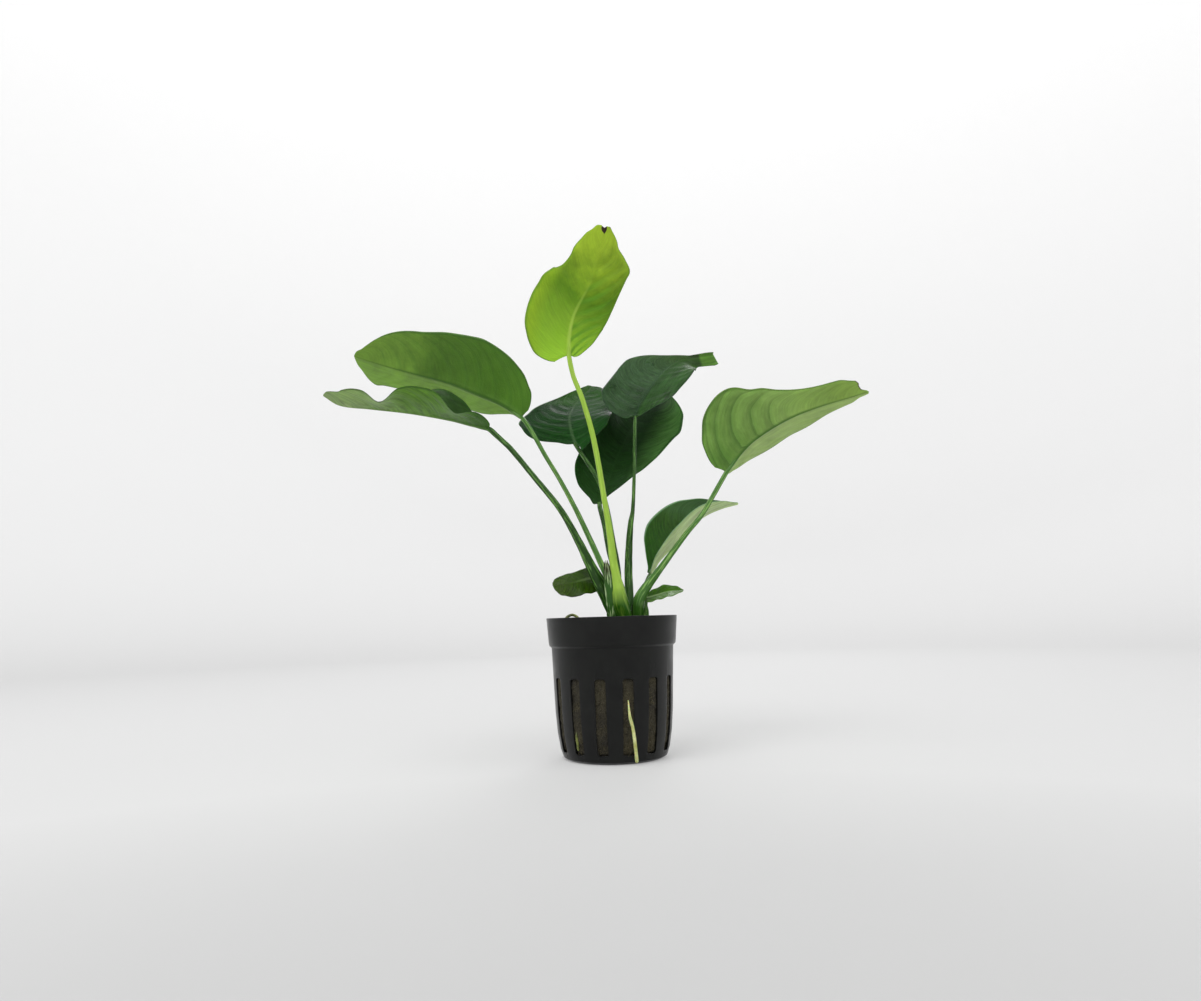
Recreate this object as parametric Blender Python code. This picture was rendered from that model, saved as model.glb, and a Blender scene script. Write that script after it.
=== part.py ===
"""Broad leaf anubias in a slotted pot.

Blender script, +Z up, in metres once built. The sizes below are in millimetres.
The origin is the middle of the pot's flat underside. X runs to the plant's right
and Y runs away to its back, so the front is at -Y.
"""
import math
from collections import namedtuple

import bmesh
import bpy
from mathutils import Matrix, Vector

MM = 0.001

# Pot: a thin tapered tub, wider at its rim band, with a ring of upright slots
POT_WALL = 1.1
POT_FLOOR = 1.4
POT_STEPS = 44
POT_OUTSIDE = ((18.6, 0.0), (20.2, 1.0), (21.3, 4.2), (22.3, 10.0), (23.0, 18.0),
               (23.6, 31.0), (24.1, 42.4), (25.0, 43.2), (25.2, 44.2), (26.0, 54.0))
SLOTS = 14
SLOT_TURN = 12.8
SLOT_WIDTH = 4.2
SLOT_REACH = (18.0, 30.0)
SLOT_HEIGHT = (3.4, 31.2)

# Slits in the pot's floor, one in line with every other slot
DRAIN_WIDTH = 2.6
DRAIN_REACH = (8.0, 16.5)
DRAIN_HEIGHT = (-2.0, 3.0)

# Gap kept between two pieces that touch
GAP = 0.3

# Mineral wool plug, with a worn top edge
WOOL_TOP = 45.0
WOOL_STEPS = 32
WOOL_EDGE = ((0.0, -3.0), (0.6, -1.0), (2.2, 0.0))
BED_GAP = 0.4

# Rhizome: a stout stem lying along X on the wool
RHIZOME_Y = -0.8
RHIZOME_Z = 47.6
RHIZOME_RADIUS = 6.3
RHIZOME_PATH = ((-8.0, 2.6), (-6.4, 4.9), (-3.0, 5.9), (2.0, 6.3), (8.0, 6.3),
                (13.5, 6.0), (17.0, 4.9), (18.6, 2.6))
RHIZOME_STEPS = 14

# Rows along a blade, columns across it, and pieces along its stem
LARGE = (15, 6, 11)
SMALL = (8, 4, 5)
BLADE_THICK = 0.8
NARROWEST = 0.4
NO_CURL = 1e-4
LOBE_END = 0.4

# Where a stem starts over the rhizome, where it may first bend, and its gap to the blade
SEAT_GAP = 0.5
ANKLE = 2.2
JOIN_GAP = 1.2
JOIN_BACK = 0.4

# Roots as (x, y, z, radius): down the front of the pot, in a slot at the left, over the rim
ROOT_PIECES = 12
ROOT_FRONT = ((5.0, -22.6, 22.6, 0.3), (5.2, -23.8, 20.4, 0.45), (5.4, -24.2, 17.6, 0.7),
              (6.3, -24.1, 13.8, 0.8), (6.9, -23.5, 8.7, 0.8), (7.3, -22.3, 4.0, 0.85),
              (7.5, -20.7, 1.1, 0.8))
ROOT_SIDE = ((-14.5, -16.4, 11.7, 0.35), (-14.2, -16.1, 8.4, 0.5), (-13.9, -15.8, 5.0, 0.4))
ROOT_ARCH = ((-16.4, -11.0, 45.4, 0.5), (-17.8, -11.8, 50.0, 0.5), (-17.7, -12.0, 53.6, 0.55),
             (-15.3, -12.0, 55.0, 0.55), (-12.9, -12.0, 53.6, 0.5), (-12.4, -11.4, 49.6, 0.5),
             (-12.0, -10.4, 45.4, 0.45))

Leaf = namedtuple("Leaf", "name grid face midrib widths folds twist lobes waves colour seat stem")


def smooth(rows, t):
    """Value at t on a smooth curve through rows of (t, value, value, ...)."""
    last = len(rows) - 1
    i = 0
    while i < last - 1 and t > rows[i + 1][0]:
        i += 1
    a, b = rows[i], rows[i + 1]
    before = rows[max(i - 1, 0)]
    after = rows[min(i + 2, last)]
    span = b[0] - a[0]
    k = min(max((t - a[0]) / span, 0.0), 1.0)
    out = []
    for p, q, r, s in zip(before[1:], a[1:], b[1:], after[1:]):
        slope_a = (r - p) / (b[0] - before[0]) * span
        slope_b = (s - q) / (after[0] - a[0]) * span
        out.append((2 * k ** 3 - 3 * k * k + 1) * q + (k ** 3 - 2 * k * k + k) * slope_a
                   + (3 * k * k - 2 * k ** 3) * r + (k ** 3 - k * k) * slope_b)
    return out


def along(points):
    """The (x, y, z, ...) points as rows of (share of the length, x, y, z, ...)."""
    runs = [0.0]
    for p, q in zip(points, points[1:]):
        runs.append(runs[-1] + (Vector(q[:3]) - Vector(p[:3])).length)
    return [(run / runs[-1], *p) for run, p in zip(runs, points)]


def midrib_frame(leaf, t):
    """Place, direction, side and face of the blade at t of its length."""
    rows = along(leaf.midrib)
    step = 0.01
    place = Vector(smooth(rows, t))
    ahead = Vector(smooth(rows, min(t + step, 1.0))) - Vector(smooth(rows, max(t - step, 0.0)))
    ahead.normalize()
    face = Vector(leaf.face)
    face = (face - ahead * face.dot(ahead)).normalized()
    turn = math.radians(smooth(leaf.twist, t)[0])
    side = ahead.cross(face)
    face, side = (face * math.cos(turn) + side * math.sin(turn),
                  side * math.cos(turn) - face * math.sin(turn))
    return place, ahead, side, face


def round_share(t):
    """Share of a half circle's arc at t of its width, so that blade ends come out round."""
    return math.acos(1 - 2 * t) / math.pi


def blade_point(leaf, t, s):
    """Point of a blade at t of its length, s from -1 (left edge) to 1 (right).

    Across the blade each half leaves the midrib at its lift and bends on by its curl.
    """
    place, ahead, side, face = midrib_frame(leaf, t)
    hand = 0 if s < 0 else 1
    rounded = [(round_share(row[0]), *row[1:]) for row in leaf.widths]
    width = max(smooth(rounded, round_share(t))[hand], NARROWEST)
    lift, curl = smooth(leaf.folds, t)[2 * hand:2 * hand + 2]
    lift, curl = math.radians(lift), math.radians(curl) + NO_CURL
    reach = abs(s)
    out = width / curl * (math.sin(lift + curl * reach) - math.sin(lift))
    up = width / curl * (math.cos(lift) - math.cos(lift + curl * reach))
    height, count, phase = leaf.waves[hand]
    up += height * reach ** 2 * math.sin(math.pi * t) * math.sin(2 * math.pi * (count * t + phase))
    back = leaf.lobes[hand] * reach ** 1.5 * max(1 - t / LOBE_END, 0.0) ** 2
    return place + side * math.copysign(out, s) + face * up - ahead * back


def material(name, colour, roughness):
    """A Principled material in the part's colour, made once."""
    made = bpy.data.materials.get(name)
    if made:
        return made
    made = bpy.data.materials.new(name)
    made.use_nodes = True
    shader = made.node_tree.nodes["Principled BSDF"]
    shader.inputs["Base Color"].default_value = (*colour, 1.0)
    shader.inputs["Roughness"].default_value = roughness
    shader.inputs["Metallic"].default_value = 0.0
    return made


def add_object(name, data, look):
    """Put the data in the scene as one named sub-part."""
    data.materials.append(look)
    made = bpy.data.objects.new(name, data)
    bpy.context.scene.collection.objects.link(made)
    return made


def add_mesh(name, bm, look, sharp=40.0):
    """Turn a bmesh in millimetres into a smooth-shaded object."""
    bmesh.ops.scale(bm, vec=(MM, MM, MM), verts=bm.verts)
    bmesh.ops.recalc_face_normals(bm, faces=bm.faces)
    mesh = bpy.data.meshes.new(name)
    bm.to_mesh(mesh)
    bm.free()
    mesh.shade_smooth()
    mesh.set_sharp_from_angle(angle=math.radians(sharp))
    return add_object(name, mesh, look)


def add_cutter(name, bm):
    """A hidden shape for a cut."""
    made = add_mesh(name, bm, material("guide", (0.8, 0.1, 0.1), 0.5))
    made.hide_render = True
    made.display_type = "WIRE"
    return made


def cut(target, tool):
    """Take the tool away from the target."""
    boolean = target.modifiers.new("cut", "BOOLEAN")
    boolean.operation = "DIFFERENCE"
    boolean.object = tool


def turned(profile, steps):
    """A bmesh turned round Z from a (radius, height) profile, closed by flat ends."""
    bm = bmesh.new()
    rings = []
    for radius, height in profile:
        made = bmesh.ops.create_circle(bm, segments=steps, radius=radius)["verts"]
        bmesh.ops.translate(bm, verts=made, vec=(0, 0, height))
        rings.append(made)
    for low, high in zip(rings, rings[1:]):
        for i in range(steps):
            j = (i + 1) % steps
            bm.faces.new((low[i], low[j], high[j], high[i]))
    bm.faces.new(rings[0])
    bm.faces.new(rings[-1])
    return bm


def slots(boxes):
    """A bmesh of upright boxes round Z: each is (turn, reach, width, height)."""
    bm = bmesh.new()
    for turn, (inner, outer), width, (bottom, top) in boxes:
        made = bmesh.ops.create_cube(bm, size=1.0)["verts"]
        bmesh.ops.scale(bm, vec=(width, outer - inner, top - bottom), verts=made)
        bmesh.ops.translate(bm, vec=(0, -(inner + outer) / 2, (bottom + top) / 2), verts=made)
        spin = Matrix.Rotation(math.radians(turn), 3, "Z")
        bmesh.ops.rotate(bm, cent=(0, 0, 0), matrix=spin, verts=made)
    return bm


def add_pot():
    """The thin net pot, with its slots and the slits in its floor."""
    inside = [(radius - POT_WALL, max(height, POT_FLOOR)) for radius, height in POT_OUTSIDE[1:]]
    profile = list(POT_OUTSIDE) + inside[::-1]
    pot = add_mesh("pot", turned(profile, POT_STEPS), material("black plastic", (0.012, 0.013, 0.012), 0.35))
    boxes = []
    for i in range(SLOTS):
        turn = SLOT_TURN + i * 360 / SLOTS
        boxes.append((turn, SLOT_REACH, SLOT_WIDTH, SLOT_HEIGHT))
        if i % 2 == 0:
            boxes.append((turn, DRAIN_REACH, DRAIN_WIDTH, DRAIN_HEIGHT))
    cut(pot, add_cutter("slot_cutter", slots(boxes)))


def tube(name, points, look):
    """A closed tube along (x, y, z, radius) points in millimetres."""
    curve = bpy.data.curves.new(name, "CURVE")
    curve.dimensions = "3D"
    curve.bevel_depth = MM
    curve.bevel_resolution = 2
    curve.use_fill_caps = True
    spline = curve.splines.new("POLY")
    spline.points.add(len(points) - 1)
    for point, (x, y, z, radius) in zip(spline.points, points):
        point.co = (x * MM, y * MM, z * MM, 1.0)
        point.radius = radius
    spline.use_smooth = True
    return add_object(name, curve, look)


def rhizome_shape(extra=0.0):
    """A bmesh of the rhizome, thickened by extra."""
    middle = (RHIZOME_PATH[0][0] + RHIZOME_PATH[-1][0]) / 2
    profile = [(radius + extra, x + math.copysign(extra, x - middle)) for x, radius in RHIZOME_PATH]
    bm = turned(profile, RHIZOME_STEPS)
    bmesh.ops.rotate(bm, cent=(0, 0, 0), matrix=Matrix.Rotation(math.radians(90), 3, "Y"), verts=bm.verts)
    bmesh.ops.translate(bm, vec=(0, RHIZOME_Y, RHIZOME_Z), verts=bm.verts)
    return bm


def add_wool():
    """The wool plug, with a bed for the rhizome."""
    wall = [(radius - POT_WALL - GAP, height) for radius, height in POT_OUTSIDE]
    foot = [(wall[1][0] - 1.2, POT_FLOOR + GAP), (wall[2][0] - 0.2, wall[2][1] + 0.2)]
    edge = [(wall[6][0] - inset, WOOL_TOP + drop) for inset, drop in WOOL_EDGE]
    profile = foot + wall[3:6] + edge
    wool = add_mesh("mineral_wool", turned(profile, WOOL_STEPS), material("wool", (0.05, 0.045, 0.025), 0.95))
    cut(wool, add_cutter("rhizome_bed", rhizome_shape(BED_GAP)))


def add_rhizome():
    """The creeping stem that carries the leaves."""
    add_mesh("rhizome", rhizome_shape(), material("rhizome", (0.09, 0.12, 0.03), 0.6))


def seat_point(seat, out):
    """Point on the line that leaves the rhizome at seat (x, lean), out from its axis."""
    x, lean = seat
    lean = math.radians(lean)
    return (x, RHIZOME_Y - out * math.sin(lean), RHIZOME_Z + out * math.cos(lean))


def add_blade(name, leaf, look):
    """A leaf's blade, from a grid bent to its shape."""
    bm = bmesh.new()
    bmesh.ops.create_grid(bm, x_segments=leaf.grid[0], y_segments=leaf.grid[1], size=0.5)
    for vert in bm.verts:
        t = 0.5 - 0.5 * math.cos(math.pi * (vert.co.x + 0.5))
        vert.co = blade_point(leaf, t, 2 * vert.co.y)
    blade = add_mesh(name, bm, look)
    thick = blade.modifiers.new("thickness", "SOLIDIFY")
    thick.thickness = BLADE_THICK * MM
    thick.offset = 0.0


def add_stem(name, leaf, look):
    """A leaf's stem, straight out of the rhizome and then along its own points."""
    foot = (*seat_point(leaf.seat, RHIZOME_RADIUS + SEAT_GAP), leaf.stem[0][3])
    ankle = (*seat_point(leaf.seat, RHIZOME_RADIUS + ANKLE), leaf.stem[0][3])
    join = Vector(leaf.midrib[0])
    back = (Vector(leaf.stem[-1][:3]) - join).normalized() * JOIN_GAP
    end = join + back - midrib_frame(leaf, 0.0)[3] * JOIN_BACK
    rows = along([foot, ankle, *leaf.stem, (*end, leaf.stem[-1][3])])
    start = rows[1][0]
    pieces = leaf.grid[2]
    shares = [0.0] + [start + (1 - start) * i / pieces for i in range(pieces + 1)]
    tube(name, [smooth(rows, share) for share in shares], look)


def add_root(name, points):
    """One root, smoothed through its points."""
    rows = along(points)
    look = material("root", (0.45, 0.52, 0.2), 0.5)
    tube(name, [smooth(rows, i / ROOT_PIECES) for i in range(ROOT_PIECES + 1)], look)


NO_WAVE = (0.0, 1.0, 0.0)
FLAT = ((0.0, 0.0), (1.0, 0.0))

LEAVES = (
    # Bright new leaf on top, leaning to the front, seen from its underside
    Leaf(name="young", grid=LARGE, face=(0.1, 1.0, 0.4),
         midrib=((-14.1, -14.0, 158.0), (-13.7, -16.0, 165.5), (-11.8, -19.0, 172.5),
                 (-8.9, -21.5, 177.5), (-4.6, -24.5, 184.0), (-0.6, -28.5, 194.0), (1.2, -32.0, 204.0)),
         widths=((0.0, 1.2, 1.2), (0.04, 6.0, 11.0), (0.1, 9.5, 15.0), (0.35, 13.5, 19.0), (0.5, 13.0, 17.0),
                 (0.65, 12.5, 12.0), (0.8, 10.0, 10.5), (0.93, 5.0, 7.0), (0.98, 2.5, 4.0), (1.0, 1.0, 1.0)),
         folds=((0.0, 8.0, 0.0, 8.0, 0.0), (1.0, 8.0, 0.0, 8.0, 0.0)),
         twist=FLAT, lobes=(0.5, 2.5), waves=(NO_WAVE, NO_WAVE),
         colour=(0.25, 0.42, 0.04), seat=(5.0, 40.0),
         stem=((4.4, -7.6, 60.0, 2.3), (3.2, -7.6, 73.0, 1.55), (1.4, -8.0, 84.0, 1.25),
               (-0.5, -8.5, 96.0, 1.15), (-5.1, -11.0, 123.8, 1.12), (-9.1, -12.5, 139.9, 1.05),
               (-12.7, -13.5, 150.1, 1.0))),
    # Long leaf to the left, its upper half standing up
    Leaf(name="left_upper", grid=LARGE, face=(0.25, 0.77, 0.64),
         midrib=((-34.4, -3.0, 136.0), (-42.5, -2.0, 142.0), (-55.4, 0.0, 148.3), (-65.4, 2.0, 153.0),
                 (-79.5, 5.0, 158.0), (-94.0, 8.0, 163.2), (-108.0, 10.0, 168.7)),
         widths=((0.0, 1.2, 1.2), (0.05, 12.0, 2.5), (0.15, 18.5, 7.0), (0.35, 22.5, 12.0), (0.6, 18.5, 13.0),
                 (0.8, 14.5, 12.0), (0.93, 7.0, 11.0), (1.0, 1.0, 1.0)),
         folds=((0.0, 15.0, 0.0, 15.0, 0.0), (0.3, 20.0, -8.0, 25.0, -8.0), (1.0, 15.0, 0.0, 18.0, 0.0)),
         twist=FLAT, lobes=(1.0, 0.0), waves=(NO_WAVE, NO_WAVE),
         colour=(0.09, 0.22, 0.03), seat=(0.8, 31.0),
         stem=((0.8, -4.6, 60.0, 1.4), (-1.4, -4.4, 69.5, 1.3), (-4.0, -3.6, 76.0, 1.2),
               (-8.6, -1.4, 87.0, 1.1), (-13.1, -0.6, 97.2, 1.0), (-19.4, -1.2, 109.7, 0.9),
               (-25.3, -2.0, 120.1, 0.9), (-31.2, -2.8, 131.2, 0.9))),
    # Wavy leaf to the left front, seen nearly on edge from below
    Leaf(name="left_lower", grid=LARGE, face=(0.0, 0.0, 1.0),
         midrib=((-46.2, -16.0, 128.7), (-52.1, -18.0, 129.6), (-60.1, -20.0, 131.5), (-74.7, -24.0, 133.6),
                 (-89.4, -28.0, 134.7), (-100.4, -30.0, 135.8), (-106.2, -32.0, 139.2)),
         widths=((0.0, 1.2, 1.2), (0.12, 11.0, 11.0), (0.35, 20.0, 18.0), (0.6, 17.0, 16.0),
                 (0.8, 13.0, 13.0), (0.93, 8.5, 7.5), (1.0, 1.0, 1.0)),
         folds=((0.0, 8.0, 10.0, 15.0, 0.0), (0.1, 8.0, 14.0, 18.0, 0.0), (0.23, 8.0, -28.0, 18.0, 0.0),
                (0.45, 8.0, 12.0, 18.0, 0.0), (0.65, 8.0, -26.0, 18.0, 0.0), (0.85, 8.0, 16.0, 18.0, 0.0),
                (1.0, 8.0, 4.0, 18.0, 0.0)),
         twist=FLAT, lobes=(0.0, 0.0), waves=(NO_WAVE, NO_WAVE),
         colour=(0.12, 0.25, 0.05), seat=(0.8, -8.0),
         stem=((0.2, 0.2, 60.0, 2.4), (-2.5, -0.6, 65.6, 2.3), (-7.6, -2.4, 75.0, 1.7),
               (-12.1, -4.6, 84.0, 1.4), (-19.0, -8.0, 96.4, 1.25), (-28.8, -11.0, 109.1, 1.15),
               (-38.2, -14.0, 120.8, 1.1), (-43.6, -15.5, 126.0, 1.1))),
    # Dark leaf at the back left, leaning away, seen from its glossy upper side
    Leaf(name="back_left", grid=LARGE, face=(0.0, -0.7, 0.7),
         midrib=((-13.1, 5.0, 126.2), (-14.9, 11.0, 133.4), (-15.7, 19.0, 140.8), (-14.1, 29.0, 148.4),
                 (-10.4, 38.0, 155.8), (-5.6, 46.0, 163.0)),
         widths=((0.0, 1.2, 1.2), (0.05, 9.5, 6.0), (0.2, 20.7, 15.5), (0.35, 20.0, 18.5), (0.6, 13.0, 17.0),
                 (0.8, 7.5, 14.0), (0.93, 5.0, 10.0), (1.0, 3.0, 5.0)),
         folds=((0.0, 5.0, 0.0, 5.0, 0.0), (1.0, 5.0, 0.0, 5.0, 0.0)),
         twist=FLAT, lobes=(0.5, 5.0), waves=(NO_WAVE, NO_WAVE),
         colour=(0.03, 0.09, 0.03), seat=(4.4, -34.0),
         stem=((3.4, 4.4, 62.0, 1.3), (1.6, 5.4, 72.0, 1.15), (-0.6, 5.4, 88.8, 1.05),
               (-4.2, 5.4, 99.9, 1.0), (-7.9, 6.0, 108.8, 1.0), (-11.6, 6.6, 119.9, 1.0))),
    # Bluish glossy leaf at the back right, its tip turned over
    Leaf(name="back_right", grid=LARGE, face=(-0.2, -0.8, 0.55),
         midrib=((12.6, 8.0, 138.0), (15.6, 13.0, 145.5), (20.8, 18.0, 154.0), (27.2, 24.0, 162.7),
                 (34.2, 28.5, 168.6), (42.7, 32.0, 171.3), (50.8, 33.0, 172.8)),
         widths=((0.0, 1.2, 1.2), (0.05, 11.0, 5.0), (0.15, 18.0, 10.5), (0.35, 21.5, 16.0),
                 (0.6, 17.5, 14.5), (0.78, 3.0, 9.0), (0.88, 2.0, 5.5), (1.0, 2.2, 4.2)),
         folds=((0.0, 5.0, 0.0, 5.0, 0.0), (1.0, 5.0, 0.0, 5.0, 0.0)),
         twist=((0.0, 0.0), (0.7, 0.0), (0.86, 40.0), (1.0, 130.0)),
         lobes=(2.0, 0.0), waves=(NO_WAVE, NO_WAVE),
         colour=(0.03, 0.08, 0.04), seat=(6.6, -3.0),
         stem=((7.4, 1.2, 60.0, 1.8), (7.5, 4.5, 71.4, 1.7), (8.1, 6.0, 81.8, 1.5),
               (9.1, 6.2, 91.7, 1.2), (10.2, 6.4, 97.6, 0.85), (11.2, 7.0, 110.7, 0.75),
               (12.0, 8.0, 125.9, 0.75))),
    # Darkest leaf, low at the back, in the shade of the two above
    Leaf(name="back_lower", grid=LARGE, face=(0.0, -0.85, 0.5),
         midrib=((-3.6, 14.0, 101.6), (-0.6, 19.5, 109.7), (2.9, 26.0, 119.7), (9.9, 36.0, 135.9),
                 (17.3, 45.0, 150.9), (23.2, 50.0, 162.4)),
         widths=((0.0, 1.2, 1.2), (0.05, 7.0, 2.5), (0.15, 13.0, 6.0), (0.35, 17.0, 15.0), (0.6, 16.0, 21.0),
                 (0.8, 13.0, 21.5), (0.93, 8.0, 15.5), (1.0, 2.0, 4.0)),
         folds=((0.0, 5.0, 0.0, 5.0, 0.0), (1.0, 5.0, 0.0, 5.0, 0.0)),
         twist=FLAT, lobes=(1.0, 0.0), waves=(NO_WAVE, NO_WAVE),
         colour=(0.015, 0.05, 0.015), seat=(8.0, -42.0),
         stem=((5.0, 7.6, 64.0, 1.5), (0.4, 10.0, 79.0, 1.25), (-1.9, 12.6, 93.0, 1.1))),
    # Long leaf to the right with a torn tip
    Leaf(name="right_upper", grid=LARGE, face=(-0.3, 0.75, 0.6),
         midrib=((48.0, -4.0, 110.6), (54.7, -4.5, 119.0), (61.4, -5.0, 124.7), (74.5, -6.5, 131.9),
                 (87.3, -8.0, 136.2), (99.8, -10.0, 139.2), (106.0, -11.0, 140.8)),
         widths=((0.0, 1.2, 1.2), (0.05, 4.2, 15.0), (0.15, 9.0, 22.0), (0.35, 13.5, 20.5), (0.6, 11.5, 9.8),
                 (0.8, 6.3, 8.2), (0.93, 3.5, 6.0), (1.0, 1.5, 1.5)),
         folds=((0.0, 15.0, 0.0, 15.0, 0.0), (0.3, 25.0, -8.0, 22.0, -8.0), (1.0, 18.0, 0.0, 18.0, 0.0)),
         twist=FLAT, lobes=(0.0, 1.5), waves=(NO_WAVE, NO_WAVE),
         colour=(0.1, 0.23, 0.04), seat=(10.4, 22.0),
         stem=((11.1, -4.6, 60.5, 1.8), (13.3, -4.6, 64.3, 1.75), (18.3, -5.0, 70.6, 1.6),
               (30.2, -5.4, 86.1, 1.15), (36.6, -5.0, 93.7, 1.0), (43.1, -4.4, 102.5, 1.0))),
    # Leaf low on the right, folded along its midrib like a boat
    Leaf(name="right_lower", grid=LARGE, face=(-0.59, -0.41, 0.68),
         midrib=((16.3, 5.0, 70.8), (19.8, 6.0, 75.8), (26.7, 7.0, 81.7), (35.1, 8.4, 89.4),
                 (40.9, 9.5, 94.8), (48.0, 11.0, 97.8), (55.1, 12.5, 99.7)),
         widths=((0.0, 1.2, 1.2), (0.12, 5.5, 6.0), (0.35, 16.5, 13.0), (0.6, 13.5, 12.0),
                 (0.8, 6.0, 8.0), (0.93, 2.2, 3.2), (1.0, 0.8, 0.8)),
         folds=((0.0, 40.0, 0.0, 40.0, 0.0), (0.4, 45.0, 0.0, 45.0, 0.0), (1.0, 40.0, 0.0, 40.0, 0.0)),
         twist=FLAT, lobes=(0.0, 0.0), waves=(NO_WAVE, NO_WAVE),
         colour=(0.05, 0.13, 0.04), seat=(11.6, -16.0),
         stem=((12.4, 1.6, 59.5, 1.5), (14.0, 3.6, 65.0, 1.2), (15.6, 4.8, 69.0, 1.0))),
    # Small leaf low on the left
    Leaf(name="small_left", grid=SMALL, face=(-0.1, -0.95, 0.3),
         midrib=((-4.6, 4.6, 70.2), (-9.5, 1.8, 69.3), (-15.5, -2.0, 67.7), (-22.8, -6.0, 66.5)),
         widths=((0.0, 1.0, 1.0), (0.15, 6.5, 5.0), (0.5, 6.5, 4.5), (0.85, 5.0, 3.5), (1.0, 1.0, 1.0)),
         folds=((0.0, 5.0, 0.0, 5.0, 0.0), (1.0, 5.0, 0.0, 5.0, 0.0)),
         twist=FLAT, lobes=(0.0, 0.0), waves=(NO_WAVE, NO_WAVE),
         colour=(0.08, 0.16, 0.03), seat=(0.2, -48.0),
         stem=((-0.4, 6.6, 59.0, 1.0), (-1.4, 6.6, 66.0, 0.9))),
    # Small leaf low on the right
    Leaf(name="small_right", grid=SMALL, face=(0.0, -0.5, 0.85),
         midrib=((13.6, -2.4, 60.6), (17.9, -3.0, 61.8), (23.4, -4.5, 63.2), (28.6, -6.0, 63.5)),
         widths=((0.0, 0.9, 0.9), (0.2, 4.0, 5.5), (0.5, 5.0, 6.5), (0.8, 3.0, 5.0), (1.0, 0.8, 0.8)),
         folds=((0.0, 10.0, 0.0, 10.0, 0.0), (1.0, 10.0, 0.0, 10.0, 0.0)),
         twist=FLAT, lobes=(0.0, 0.0), waves=(NO_WAVE, NO_WAVE),
         colour=(0.12, 0.26, 0.05), seat=(14.2, 12.0),
         stem=((13.4, -3.0, 58.2, 0.9),)),
)

# Dry remains of the bud sheath that once wrapped the young leaf
OLD_SHEATH = Leaf(name="old_sheath", grid=SMALL, face=(-0.2, -1.0, 0.1),
                  midrib=((0.8, -7.5, 51.6), (0.6, -8.8, 60.0), (0.3, -8.9, 70.0), (-0.5, -9.0, 77.0)),
                  widths=((0.0, 1.3, 1.0), (0.3, 1.4, 1.0), (0.7, 1.3, 1.0), (1.0, 0.5, 0.5)),
                  folds=((0.0, -10.0, -50.0, -10.0, -50.0), (1.0, -10.0, -40.0, -10.0, -40.0)),
                  twist=FLAT, lobes=(0.0, 0.0), waves=(NO_WAVE, NO_WAVE),
                  colour=(0.12, 0.11, 0.03), seat=None, stem=())


def main():
    for thing in list(bpy.data.objects):
        bpy.data.objects.remove(thing, do_unlink=True)
    add_pot()
    add_wool()
    add_rhizome()
    for leaf in LEAVES:
        look = material("leaf " + leaf.name, leaf.colour, 0.4)
        add_blade("leaf_" + leaf.name, leaf, look)
        add_stem("stem_" + leaf.name, leaf, look)
    add_blade("old_sheath", OLD_SHEATH, material("dry sheath", OLD_SHEATH.colour, 0.8))
    add_root("root_front", ROOT_FRONT)
    add_root("root_side", ROOT_SIDE)
    add_root("root_arch", ROOT_ARCH)


main()
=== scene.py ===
"""Broad leaf anubias in a slotted net pot, finished for rendering.

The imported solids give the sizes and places. Each one is replaced here by a finely
modelled piece: veined blades, grooved stems, a dry sheath, a scarred rhizome, wool
with loose fibres, a moulded pot and pale roots.
"""

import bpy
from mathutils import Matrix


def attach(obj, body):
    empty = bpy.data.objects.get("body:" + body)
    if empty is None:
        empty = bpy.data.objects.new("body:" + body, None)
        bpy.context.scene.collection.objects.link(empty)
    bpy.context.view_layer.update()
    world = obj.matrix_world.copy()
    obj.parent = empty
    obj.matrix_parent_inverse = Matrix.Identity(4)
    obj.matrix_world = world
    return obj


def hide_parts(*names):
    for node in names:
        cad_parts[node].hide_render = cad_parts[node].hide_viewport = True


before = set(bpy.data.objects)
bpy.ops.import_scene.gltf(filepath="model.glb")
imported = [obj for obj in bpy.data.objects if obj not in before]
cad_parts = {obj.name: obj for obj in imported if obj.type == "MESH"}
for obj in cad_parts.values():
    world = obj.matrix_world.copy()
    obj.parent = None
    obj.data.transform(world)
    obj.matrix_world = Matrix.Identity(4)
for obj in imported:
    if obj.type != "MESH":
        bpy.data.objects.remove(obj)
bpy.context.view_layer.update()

import math
import random
from collections import namedtuple
from functools import partial

import bpy
import numpy as np
from mathutils import Matrix, Vector, noise

bl_info = {
    "name": "Broad leaf anubias in a pot",
    "version": (1, 0, 0),
    "blender": (4, 5, 0),
    "location": "View3D > Sidebar > Anubias",
    "description": "Models a potted broad leaf anubias piece by piece",
    "category": "Add Mesh",
}

MM = 0.001


def linear(code):
    """Linear RGBA from an sRGB hex colour."""
    parts = [int(code[i:i + 2], 16) / 255 for i in (1, 3, 5)]
    return (*(p / 12.92 if p <= 0.04045 else ((p + 0.055) / 1.055) ** 2.4 for p in parts), 1.0)


# Leaves. Sizes in millimetres, as in the solids: the path of the midrib, the way the
# upper face looks, the widths to the left and right margins at SHARES of the length,
# and rows of (share, left lift, left curl, right lift, right curl) and of (share, twist).
# end is how far the tip's edge is drawn back at places from left (-1) to right (1).
# lobes are the mm that the base runs back on each side, arc and quilt the bend of the
# side veins and the swell between them, seat the (x, lean) where the stem leaves the
# rhizome, and stem its (x, y, z, radius).
SHARES = (0, 0.03, 0.06, 0.1, 0.15, 0.2, 0.26, 0.32, 0.38, 0.44, 0.5, 0.56, 0.62, 0.68, 0.74, 0.8, 0.85,
          0.9, 0.94, 0.97, 1)
FLAT = ((0, 0), (1, 0))
WHOLE = ((-1, 0), (1, 0))
Leaf = namedtuple("Leaf", "name slot face midrib left right folds veins arc quilt seat stem twist lobes end",
                  defaults=(FLAT, (0, 0), WHOLE))


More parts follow.
